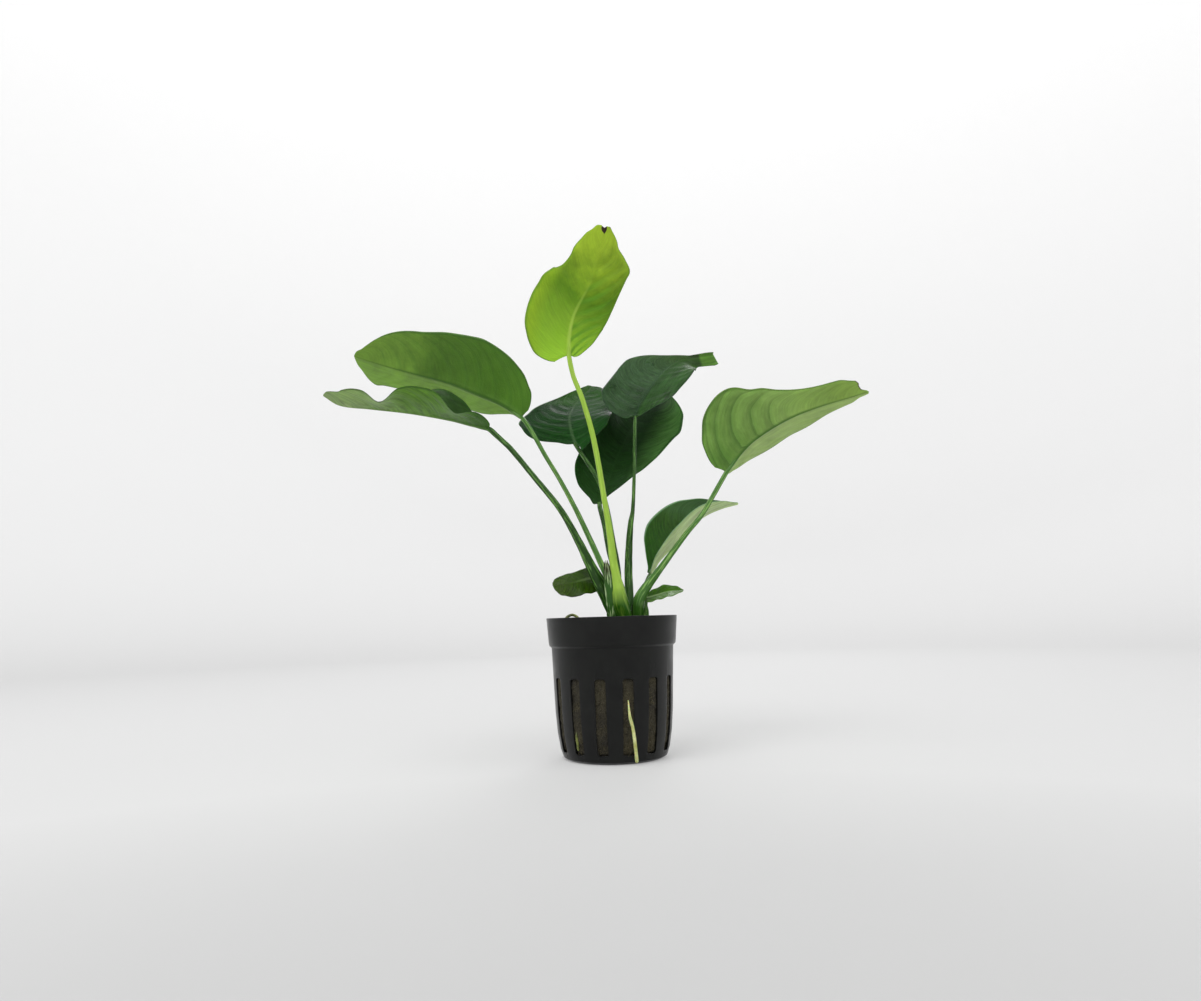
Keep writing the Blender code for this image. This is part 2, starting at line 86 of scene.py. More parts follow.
def even(lift):
    """Folds of a blade whose two halves are lifted alike all along."""
    return ((0, lift, 0, lift, 0), (1, lift, 0, lift, 0))


LEAVES = (
    # Bright new leaf on top, leaning to the front, with a dead notch in its tip
    Leaf(name="young", slot="leaf_young", face=(0.1, 1, 0.4),
         midrib=((-14.1, -14, 158), (-13.7, -16, 165.5), (-11.8, -19, 172.5), (-8.9, -21.5, 177.5),
                 (-4.6, -24.5, 184), (-0.6, -28.5, 194), (1.2, -32, 204)),
         left=(2, 5.6, 7.6, 9.6, 10.8, 11.8, 12.7, 13, 13.1, 13, 12.7, 12.3, 12.4, 12.7, 13.1, 10.1, 7,
               5.8, 4.5, 3.4, 1.9),
         right=(6, 11.8, 14.4, 16.2, 18, 19.3, 19.6, 19.4, 18.8, 18.5, 17, 15.9, 13.5, 12.2, 11.3, 10.9,
                10, 8.3, 6.6, 4.3, 2.1),
         folds=even(8), lobes=(0.5, 2.5),
         end=((-1, 0.9), (-0.5, 0.6), (-0.1, 2.9), (0.35, 0.1), (1, 0)),
         veins=9, arc=(0.24, 0.04), quilt=(0.6, 0.1), seat=(5, 40),
         stem=((3.5, -7.8, 60, 3.2), (2.7, -7.8, 66, 2.35), (1.5, -7.6, 73, 1.8), (0.5, -8, 84, 1.45),
               (-1, -8.5, 96, 1.2), (-5.1, -11, 123.8, 1.12), (-9.1, -12.5, 139.9, 1.05),
               (-12.7, -13.5, 150.1, 1))),
    # Long leaf to the left, its upper half standing up
    Leaf(name="left_upper", slot="leaf_green", face=(0.25, 0.77, 0.64),
         midrib=((-34.4, -3, 136), (-42.5, -2, 142), (-55.4, 0, 148.3), (-65.4, 2, 153), (-79.5, 5, 158),
                 (-94, 8, 163.2), (-108, 10, 168.7)),
         left=(4, 10.8, 12.8, 15.9, 18.7, 20.5, 21.9, 22.5, 21.8, 20.9, 20.2, 19.2, 18.3, 17.6, 16.5,
               14.8, 12.7, 9.5, 6.2, 3.6, 1.2),
         right=(1.2, 1.4, 2.3, 4.6, 7.1, 9.6, 11.7, 12.6, 14.1, 15.2, 15.1, 14.5, 13.6, 12.5, 11.9, 12,
                12.6, 13.9, 11.6, 7.3, 1.2),
         folds=((0, 15, 0, 15, 0), (0.3, 20, -8, 25, -8), (1, 15, 0, 18, 0)),
         lobes=(1, 0), veins=11, arc=(0.05, 0.19), quilt=(0.14, 0.2), seat=(0.8, 31),
         stem=((0.8, -4.6, 60, 1.4), (-1.4, -4.4, 69.5, 1.3), (-4, -3.6, 76, 1.2), (-8.6, -1.4, 87, 1.1),
               (-13.1, -0.6, 97.2, 1), (-19.4, -1.2, 109.7, 0.9), (-25.3, -2, 120.1, 0.9),
               (-31.2, -2.8, 131.2, 0.9))),
    # Wavy leaf to the left front, seen nearly on edge from below
    Leaf(name="left_lower", slot="leaf_green", face=(0, 0, 1),
         midrib=((-46.2, -16, 128.7), (-52.1, -18, 129.6), (-60.1, -20, 131.5), (-74.7, -24, 133.6),
                 (-89.4, -28, 134.7), (-100.4, -30, 135.8), (-106.2, -32, 139.2)),
         left=(1.2, 5.9, 8, 10.1, 12.5, 15, 17.7, 19.5, 20.2, 19.8, 18.9, 17.7, 16.7, 15.6, 14.4, 13,
               11.6, 9.9, 8, 6, 1),
         right=(1.2, 6.1, 8.1, 10.1, 12.2, 14.2, 16.2, 17.6, 18.2, 18, 17.3, 16.5, 15.8, 15.1, 14.2, 13,
                11.3, 9, 7, 5.2, 1),
         folds=((0, 8, 10, 15, 0), (0.1, 8, 12, 40, 0), (0.22, 8, -28, 55, 0), (0.34, 8, 4, 53, 0),
                (0.45, 8, 13, 37, 0), (0.57, 8, 9, 22, 0), (0.66, 8, -26, 18, 0), (0.75, 8, 8, 18, 0),
                (0.87, 8, 17, 18, 0), (1, 8, 4, 18, 0)),
         veins=9, arc=(0.1, 0.16), quilt=(0.3, 0.2), seat=(0.8, -8),
         stem=((-0.8, 0.2, 60, 2.9), (-3.4, -0.6, 65.6, 2.8), (-8.1, -2.4, 75, 2.1),
               (-12.3, -4.6, 84, 1.6), (-19, -8, 96.4, 1.25), (-28.8, -11, 109.1, 1.15),
               (-38.2, -14, 120.8, 1.1), (-43.6, -15.5, 126, 1.1))),
    # Dark leaf at the back left, leaning away, seen from its glossy upper side
    Leaf(name="back_left", slot="leaf_dark", face=(0, -0.7, 0.7),
         midrib=((-13.1, 5, 126.2), (-14.9, 11, 133.4), (-15.7, 19, 140.8), (-14.1, 29, 148.4),
                 (-10.4, 38, 155.8), (-5.6, 46, 163)),
         left=(2, 7, 13.6, 17.5, 19.9, 20.9, 22, 20.7, 18.4, 17, 15.2, 13.4, 11.5, 9.6, 7.9, 6.4, 5.2,
               4.2, 3.5, 2.6, 1.8),
         right=(2, 4.8, 7.3, 10.3, 13.6, 15.8, 17.3, 18.2, 18.6, 18.4, 18.1, 17.6, 17, 16.1, 14.6, 13,
                11.6, 9.6, 8, 6.4, 3.5),
         folds=even(5), lobes=(0.5, 5), veins=10, arc=(0.06, 0.2), quilt=(0.24, 0.14), seat=(4.4, -34),
         stem=((3.5, 4.4, 62, 1.3), (3.3, 5.2, 73, 1.15), (1.6, 5.4, 85, 1.05), (-0.4, 5.4, 98, 1),
               (-3.2, 5.9, 109, 0.95), (-8.4, 6.4, 118.6, 0.9))),
    # Bluish glossy leaf at the back right, its tip turned over
    Leaf(name="back_right", slot="leaf_dark", face=(-0.2, -0.8, 0.55),
         midrib=((12.6, 8, 138), (15.6, 13, 145.5), (20.8, 18, 154), (27.2, 24, 162.7),
                 (34.2, 28.5, 168.6), (42.7, 32, 171.3), (50.8, 33, 172.8)),
         left=(3, 8.8, 12.2, 14.6, 17.8, 20.2, 20.6, 21, 21.2, 21.2, 21.3, 20.7, 16.3, 8.5, 3.6, 1.4, 1.2,
               1.2, 1.3, 1.4, 1.4),
         right=(1.6, 3.8, 5.7, 7.9, 10.4, 12.8, 14.4, 15.2, 15.8, 15.9, 15.7, 15.1, 14.1, 12.7, 10.6, 7.5,
                5.1, 4.9, 5.4, 6.2, 6.8),
         folds=even(5), twist=((0, 0), (0.7, 0), (0.86, 45), (1, 102)), lobes=(2, 0), veins=10,
         arc=(0.08, 0.16), quilt=(0.2, 0.14), seat=(6.6, -3),
         stem=((7.4, 1.2, 60, 1.8), (7.5, 4.5, 71.4, 1.7), (8.1, 6, 81.8, 1.5), (9.1, 6.2, 91.7, 1.2),
               (10.2, 6.4, 97.6, 0.85), (11.2, 7, 110.7, 0.75), (12, 8, 125.9, 0.75))),
    # Darkest leaf, low at the back, in the shade of the two above
    Leaf(name="back_lower", slot="leaf_dark", face=(0, -0.85, 0.5),
         midrib=((-3.6, 14, 101.6), (-0.6, 19.5, 109.7), (2.9, 26, 119.7), (9.9, 36, 135.9),
                 (17.3, 45, 150.9), (23.2, 50, 162.4)),
         left=(2, 4.6, 7.8, 11.4, 13.8, 15.4, 16.6, 16.9, 17.1, 17, 16.7, 16.4, 15.7, 15.1, 14.3, 12.9,
               11.6, 9.4, 7.3, 5.8, 2.2),
         right=(1, 1.2, 2.1, 3.7, 6, 8.3, 11, 13.7, 15.6, 17.3, 18.7, 20, 21.3, 22.7, 22.3, 21.3, 20.3,
                17.7, 14.5, 11.3, 5),
         folds=even(5), lobes=(1, 0), veins=11, arc=(0.06, 0.2), quilt=(0.2, 0.2), seat=(8, -42),
         stem=((5, 7.6, 64, 1.5), (0.4, 10, 79, 1.25), (-1.9, 12.6, 93, 1.1))),
    # Long leaf to the right with a torn tip
    Leaf(name="right_upper", slot="leaf_green", face=(-0.3, 0.75, 0.6),
         midrib=((48, -4, 110.6), (54.7, -4.5, 119), (61.4, -5, 124.7), (74.5, -6.5, 131.9),
                 (87.3, -8, 136.2), (99.8, -10, 139.2), (106, -11, 140.8)),
         left=(1.4, 3.2, 4.7, 6.6, 8.8, 10.8, 12.6, 13.3, 13.5, 13.3, 12.7, 12.1, 10.8, 8.9, 7.2, 6.1,
               5.1, 4, 2.3, 1.9, 1.3),
         right=(5, 12, 15.6, 18.4, 22, 23.7, 24.3, 22.6, 18.6, 16.4, 13.2, 10.8, 9.3, 8.5, 8.1, 8, 7.8,
                6.6, 5.7, 5.2, 4.4),
         folds=((0, 15, 0, 15, 0), (0.3, 25, -8, 22, -8), (1, 18, 0, 18, 0)),
         lobes=(0, 1.5),
         end=((-1, 0.2), (-0.2, 0), (0.1, 0.6), (0.3, 2.8), (0.6, 3.4), (0.8, 3.2), (1, 4.2)),
         veins=9, arc=(0.04, 0.2), quilt=(0.24, 0.34), seat=(10.4, 22),
         stem=((11.3, -4.6, 60.5, 2.5), (13.5, -4.6, 64.3, 2.1), (18.5, -5, 70.5, 1.5),
               (30.8, -5.4, 85.9, 1.05), (37.4, -5, 93.4, 1), (43.2, -4.4, 102.5, 1))),
    # Leaf low on the right, folded along its midrib like a boat
    Leaf(name="right_lower", slot="leaf_green", face=(-0.59, -0.41, 0.68),
         midrib=((16.3, 5, 70.8), (19.8, 6, 75.8), (26.4, 7, 82), (34.3, 8.4, 90), (40.9, 9.5, 94.8),
                 (48, 11, 97.8), (55.1, 12.5, 99.7)),
         left=(1.2, 2, 3, 5.1, 8.6, 12.1, 14.4, 15.4, 15.7, 15.5, 15, 14.2, 12.9, 10.8, 8.8, 6.2, 4.6,
               2.9, 1.8, 0.9, 0.6),
         right=(1.2, 3.5, 6, 8.2, 9.8, 11, 11.8, 12.4, 12.8, 13, 13, 12.4, 11.8, 10.8, 9.5, 8, 6.4, 4.3,
                2.9, 2.1, 0.8),
         folds=((0, 40, 0, 40, 0), (0.4, 45, 0, 45, 0), (1, 40, 0, 40, 0)),
         veins=9, arc=(0.06, 0.18), quilt=(0.16, 0.16), seat=(11.6, -16),
         stem=((12.4, 1.6, 59.5, 1.5), (14, 3.6, 65, 1.2), (15.6, 4.8, 69, 1))),
    # Small leaf low on the left
    Leaf(name="small_left", slot="leaf_dark", face=(-0.1, -0.95, 0.3),
         midrib=((-4.6, 4.6, 70.2), (-9.5, 1.8, 69.3), (-15.5, -2, 67.7), (-22.8, -6, 66.5)),
         left=(1.4, 3.5, 4.6, 6.1, 6.7, 6.7, 6.8, 6.9, 6.8, 6.5, 6.4, 6.6, 6.4, 6.3, 6.2, 5.7, 5.2, 4.8,
               4, 2.7, 1),
         right=(1.2, 2.4, 3, 3.9, 5, 4.9, 4.6, 4.5, 4.4, 4.4, 4.4, 4.3, 4.2, 4.1, 3.9, 3.7, 3.4, 3, 2.6,
                1.8, 1),
         folds=even(5), veins=7, arc=(0.1, 0.14), quilt=(0.1, 0.1), seat=(0.2, -48),
         stem=((-0.4, 6.6, 59, 1), (-1.4, 6.6, 66, 0.9))),
    # Small leaf low on the right
    Leaf(name="small_right", slot="leaf_green", face=(0, -0.5, 0.85),
         midrib=((13.6, -2.4, 60.6), (17.9, -3, 61.8), (23.4, -4.5, 63.2), (28.6, -6, 63.5)),
         left=(1, 1.6, 2, 2.5, 3.2, 4, 4.5, 4.8, 5, 5.2, 5.2, 4.9, 4.6, 4, 3.4, 2.9, 2.4, 1.7, 1.1, 0.6,
               0.6),
         right=(1.2, 3.8, 4.8, 5.3, 5.4, 5.5, 5.8, 6, 6.2, 6.4, 6.7, 6.8, 6.8, 6.8, 6.5, 5.7, 4.9, 3.9,
                3.1, 2.5, 0.8),
         folds=even(10), veins=6, arc=(0.12, 0.12), quilt=(0.12, 0.12), seat=(13.6, 12),
         stem=((13.2, -3, 58.2, 1.3),)),
)

# Rhizome: place of its axis, distance from ring scar to ring scar, and rows of
# (x, radius) along it
SCAR_SPACING = 2.4
RHIZOME_Y = -0.8
RHIZOME_Z = 47.6
RHIZOME_PATH = ((-8, 2.6), (-6.4, 4.9), (-3, 5.9), (2, 6.3), (8, 6.3),
                (13.5, 6), (17, 4.9), (18.6, 2.6))

# Stems: how far out from the rhizome's axis they start, and how they run on under the
# blade as (share of its length, mm under its midrib, share of the stem's radius)
STEM_FOOT = (4.6, 6.8, 8.5)
STEM_TOP = ((0, 0.35, 0.95), (0.035, 0.4, 0.75), (0.08, 0.35, 0.5), (0.13, 0.25, 0.3))

# Pot: (radius, height) up its outside, the rounding of its corners by their place in the
# outline, and its floor. Slots and the floor's slits: where the first is turned to, and
# how high, far out and wide they are cut
POT_OUTSIDE = ((18.6, 0), (20.2, 1), (21.3, 4.2), (22.3, 10), (23, 18),
               (23.6, 31), (24.1, 42.4), (25, 43.2), (25.2, 44.2), (26, 54))
POT_CORNERS = {1: 0.6, 7: 0.25, 8: 0.25, 9: 0.35, 10: 0.32, 11: 0.32}
POT_FLOOR = 1.4
SLOTS = 14
SLOT_TURN = 12.8
SLOT_HEIGHT = (3.4, 31.2)
SLOT_REACH = (18, 30)
SLOT_CORNER = 1.1
DRAIN_HEIGHT = (-2, 3)
DRAIN_REACH = (8, 16.5)
DRAIN_WIDTH = 2.6

# Wool: heights of its foot and its top, its distance from the pot's outside, and the
# share of its loose fibres that stand in the slots
WOOL_FOOT = 1.8
WOOL_TOP = 45
WOOL_GAP = 1.4
FIBRES_IN_SLOTS = 0.68
FIBRE_SEED = 11

# Roots as (x, y, z, radius)
ROOTS = {
    "root_front": ((5, -22, 23.6, 0.2), (5.1, -23.3, 21.6, 0.3), (5.2, -24, 19.6, 0.45),
                   (5.4, -24.2, 17.6, 0.55), (6.3, -24.1, 13.8, 0.6), (6.9, -23.5, 8.7, 0.62),
                   (7.3, -22.3, 4, 0.65), (7.5, -20.9, 1, 0.62)),
    "root_side": ((-14.2, -16.1, 12.4, 0.25), (-14.4, -16.4, 10.6, 0.4), (-14.2, -16.1, 8.4, 0.5),
                  (-13.9, -15.8, 5, 0.4)),
    "root_arch": ((-16, -10.6, 44.2, 0.5), (-17.8, -11.8, 50, 0.5), (-17.7, -12, 53.6, 0.55),
                  (-15.3, -12, 55, 0.55), (-12.9, -12, 53.6, 0.5), (-12.4, -11.4, 49.6, 0.5),
                  (-12, -10, 44.2, 0.45)),
}

# Camera that the photograph was taken with, worked out from the pot and the frame: its
# place in metres, pitch and roll in degrees, focal length and picture width in pixels,
# and sensor width in millimetres
CAMERA_PLACE = Vector((-0.0031, -0.323, 0.053))
CAMERA_PITCH = 8.45
CAMERA_ROLL = 1.6
FOCAL_PIXELS = 800
PHOTO_WIDTH = 1201
SENSOR_WIDTH = 36

# Backdrop in mm: reach of its level floor, radius of the bend past it and top of its wall
FLOOR_REACH = 900
BEND = 500
WALL_TOP = 2200

# Lights: name, place, target and size in metres, power in watts and colour
LIGHTS = (("overhead", (-0.35, -0.45, 1.05), (0.0, 0.05, 0.0), 0.7, 5.0, "#ffffff"),
          ("rim", (0.2, 0.85, 0.75), (0.0, 0.0, 0.12), 0.5, 2.2, "#ffffff"),
          ("front_fill", (0.3, -0.9, 0.5), (0.0, 0.0, 0.12), 0.6, 0.8, "#ffffff"))
WORLD_STRENGTH = 0.15

# Painted light: the backdrop glows by itself, more strongly higher up: height in metres and strength
TENT_GLOW = ((0.0, 0.25), (0.09, 0.38), (0.3, 0.45), (0.53, 0.48), (0.76, 0.53), (1.0, 0.59))
# Place in front of the plant of a painted shadow on the floor, where the glow is turned down, in metres,
# and the distances from it where the painted shadow begins to fade and where it ends
PAINTED_SHADOW_PLACE = (0.0, -0.33, 0.0)
PAINTED_SHADOW_REACH = (0.08, 0.3)

# Dry sheath: (x, y, z) along it and (share, half width)
OLD_SHEATH = ((0.4, -7.4, 51.6), (0, -8.8, 58), (-0.8, -9.1, 66), (-1.6, -9.2, 76))
SHEATH_WIDTHS = ((0.0, 1.8), (0.3, 2.3), (0.7, 2.0), (0.92, 1.3), (1.0, 0.7))

# Share of a notched tip that's dead tissue and not missing, and how many mm a turned
# tip's right corner runs ahead of its left one
DRY = {"young": 0.7}
SLANT = {"back_right": 3.4}

# How far red, green and blue light goes into fresh tissue, as shares
TISSUE = (0.6, 1.0, 0.25)

# Greens of each leaf as sRGB, in the order of PARTS: four for the face that the front
# shows, then its veins, its midrib, its edge and its other face
PARTS = {"stem_end": "towards the stem", "middle": "in the middle", "tip": "towards the tip",
         "half": "over the paler half", "vein": "veins", "rib": "midrib", "edge": "edge",
         "back": "other face"}
GREENS = {
    "young": "#96c232 #577f0a #97b228 #8dac20 #5a8e18 #a8c950 #5a7d1c #86ad3a",
    "left_upper": "#4b7520 #486c1e #698c31 #779f3c #3f6a20 #38601d #2c4a16 #3c6626",
    # left_lower's other face is darkened as painted shade, where its far half stands under the leaf above
    "left_lower": "#386216 #547f1a #7f985a #6e891c #45702c #87a866 #2e4c1c #29461a",
    "back_left": "#0b3b05 #063105 #345a21 #0b3f05 #5a8352 #7f9f70 #1e3a1e #55803f",
    "back_right": "#264221 #3a5435 #344c23 #274d15 #22442a #1d3a22 #1f3b22 #5a8434",
    # back_lower is dark green of its own, and darker still away from its lighter right margin as painted
    # shade of the two leaves above
    "back_lower": "#25481b #203a1c #22381f #557f42 #16331a #2c5226 #14301a #4a7436",
    "right_upper": "#597f32 #819f52 #7e9a46 #9ab26a #3a6620 #3c661f #39581e #457030",
    "right_lower": "#1f4f05 #2c4d14 #395635 #37643a #1f451c #a9c49a #7d9f80 #abbf87",
    "small_left": "#294305 #2e4a05 #334a06 #3a5707 #28461a #7f9a5c #2b3a18 #5b7a3c",
    "small_right": "#30530a #3c660f #38620c #42690f #3a6424 #a9c888 #6f8f50 #5f8c40",
}
# How each leaf is finished: whether the front shows its under face; which half is paler,
# partly its own tone and partly a painted sheen (-1 left, 1 right), over what mm from the
# midrib and by how much; the strength and the breadth of its veins, the painted shading of
# the swell between them, the share of both over the paler half; its streaks, whether the
# paler half has them lengthwise, and its midrib; how far along it veins and midrib reach
# and where its tip turns over; its roughness and gloss
Finish = namedtuple("Finish", "under paler blend half vein broad band weak streak ribbed rib vein_end "
                              "rib_end flag rough gloss")
NEAR = (-0.3, 1.6)
FINISH = {
    "young": Finish(True, 1, (11, 17), 0.8, 0.85, 0.42, 0.1, 0.1, 0.3, 0, 0.8, 0.72, 0.6, 2, 0.42, 0.2),
    "left_upper": Finish(True, 1, NEAR, 0.8, 0.2, 0.26, 0.05, 0.6, 0.32, 1, 0.75, 1.1, 1.3, 2, 0.4, 0.2),
    "left_lower": Finish(True, 1, NEAR, 0.5, 0.3, 0.2, 0.06, 0.5, 1.3, 1, 0.4, 1.2, 1.2, 2, 0.42, 0.22),
    "back_left": Finish(False, 1, NEAR, 0.5, 0.15, 0.2, 0.03, 1, 0.9, 0, 0.15, 1, 0.9, 2, 0.35, 0.12),
    "back_right": Finish(False, 1, NEAR, 0.6, 0.15, 0.2, 0.05, 1, 1.3, 1, 0.5, 0.9, 0.8, 0.88, 0.32, 0.16),
    "back_lower": Finish(False, 1, (7, 17), 0.9, 0.2, 0.2, 0.04, 1, 1.1, 0, 0.25, 1.1, 0.9, 2, 0.35, 0.12),
    "right_upper": Finish(True, -1, NEAR, 0.85, 0.4, 0.3, 0.2, 0.15, 0.4, 1, 0.8, 0.6, 1.4, 2, 0.42, 0.2),
    "right_lower": Finish(False, 1, NEAR, 0.4, 0.2, 0.2, 0.03, 1, 1.1, 1, 0.5, 0.9, 1, 2, 0.36, 0.09),
    "small_left": Finish(False, 1, NEAR, 0.4, 0.3, 0.2, 0.06, 1, 1.7, 0, 0.45, 0.9, 0.7, 2, 0.24, 0.35),
    "small_right": Finish(False, 1, NEAR, 0.5, 0.3, 0.2, 0.06, 1, 0.8, 0, 0.7, 0.9, 1, 2, 0.33, 0.14),
}

# Rows along each piece and round it, and the steps that its path is worked out at
BLADE_GRID = (150, 84)
SMALL_BLADE_GRID = (70, 48)
STEM_GRID = (90, 20)
SHORT_STEM_GRID = (40, 16)
RHIZOME_GRID = (150, 48)
ROOT_GRID = (70, 16)
SHEATH_GRID = (44, 32)
WOOL_GRID = (100, 280)
TABLE_STEPS = 400


def smooth(rows, t):
    """Value at t on a smooth curve through rows of (t, value, value, ...)."""
    last = len(rows) - 1
    i = 0
    while i < last - 1 and t > rows[i + 1][0]:
        i += 1
    a, b = rows[i], rows[i + 1]
    before, after = rows[max(i - 1, 0)], rows[min(i + 2, last)]
    span = b[0] - a[0]
    k = min(max((t - a[0]) / span, 0.0), 1.0)
    out = []
    for p, q, r, s in zip(before[1:], a[1:], b[1:], after[1:]):
        slope_a = (r - p) / (b[0] - before[0]) * span
        slope_b = (s - q) / (after[0] - a[0]) * span
        out.append((2 * k ** 3 - 3 * k * k + 1) * q + (k ** 3 - 2 * k * k + k) * slope_a
                   + (3 * k * k - 2 * k ** 3) * r + (k ** 3 - k * k) * slope_b)
    return out


def along(points):
    """The (x, y, z, ...) points as rows of (share of the length, x, y, z, ...)."""
    runs = [0.0]
    for p, q in zip(points, points[1:]):
        runs.append(runs[-1] + (Vector(q[:3]) - Vector(p[:3])).length)
    return [(run / runs[-1], *p) for run, p in zip(runs, points)], runs[-1]


def midrib_frame(leaf, t):
    """Place, direction, side and face of the blade at t of its length."""
    rows = along(leaf.midrib)[0]
    step = 0.01
    place = Vector(smooth(rows, t))
    ahead = Vector(smooth(rows, min(t + step, 1.0))) - Vector(smooth(rows, max(t - step, 0.0)))
    ahead.normalize()
    face = Vector(leaf.face)
    face = (face - ahead * face.dot(ahead)).normalized()
    turn = math.radians(smooth(leaf.twist, t)[0])
    side = ahead.cross(face)
    face, side = (face * math.cos(turn) + side * math.sin(turn),
                  side * math.cos(turn) - face * math.sin(turn))
    return place, ahead, side, face


def fade(value, start, end):
    """Smooth change from 0 at start to 1 at end."""
    k = np.clip((value - start) / (end - start), 0.0, 1.0)
    return k * k * (3 - 2 * k)


def select(*pieces):
    """Select these pieces alone, with the first as the active one."""
    bpy.ops.object.select_all(action="DESELECT")
    for piece in pieces:
        piece.select_set(True)
    bpy.context.view_layer.objects.active = pieces[0]


def round_end(way, reach):
    """Share of the full size that a rounded end has at a way from its tip."""
    return np.sqrt(np.clip(1 - (1 - np.clip(way / reach, 0, 1)) ** 2, 0.0, 1.0))


def wrapped_grid(name, rows, columns, place, attributes=()):
    """A piece from a grid rolled up: place(u, w) gives the points in millimetres.

    u runs along the piece and w once round it. place returns the points and then one
    array of vectors for each named attribute.
    """
    bpy.ops.mesh.primitive_grid_add(x_subdivisions=rows, y_subdivisions=columns, size=2.0)
    piece = bpy.context.active_object
    piece.name = piece.data.name = name
    mesh = piece.data
    flat = np.empty(len(mesh.vertices) * 3)
    mesh.vertices.foreach_get("co", flat)
    flat = flat.reshape(-1, 3)
    points, *values = place((flat[:, 0] + 1) / 2, (flat[:, 1] + 1) / 2)
    mesh.vertices.foreach_set("co", (points * MM).ravel())
    for key, value in zip(attributes, values):
        made = mesh.attributes.new(key, "FLOAT_VECTOR", "POINT")
        made.data.foreach_set("vector", np.ascontiguousarray(value).ravel())
    close_up(piece)
    return piece


def close_up(piece, gap=0.002):
    """Merge the seams of a piece, turn its faces outwards and shade it smooth."""
    bpy.context.view_layer.objects.active = piece
    bpy.ops.object.mode_set(mode="EDIT")
    bpy.ops.mesh.select_all(action="SELECT")
    bpy.ops.mesh.remove_doubles(threshold=gap * MM)
    bpy.ops.mesh.normals_make_consistent(inside=False)
    bpy.ops.object.mode_set(mode="OBJECT")
    bpy.ops.object.shade_smooth()


def settle(piece, look, slot, *nodes):
    """Give a finished piece its material, its body and the nodes it stands for. Its slot is not used."""
    piece.data.materials.clear()
    piece.data.materials.append(look)
    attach(piece, "root")
    if nodes:
        piece.name = piece.data.name = "fine_" + nodes[0]
        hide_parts(*nodes)


def blade_table(leaf):
    """Frames, widths and folds at even steps along a blade, for interpolation."""
    table = []
    rounded = [(math.acos(1 - 2 * share) / math.pi, *row)
               for share, *row in zip(SHARES, leaf.left, leaf.right)]
    for i in range(TABLE_STEPS + 1):
        t = i / TABLE_STEPS
        place, ahead, side, face = midrib_frame(leaf, t)
        widths = [max(value, 0.4) for value in smooth(rounded, math.acos(1 - 2 * t) / math.pi)]
        folds = [math.radians(value) for value in smooth(leaf.folds, t)]
        table.append([*place, *ahead, *side, *face, *widths, *folds])
    return np.array(table)


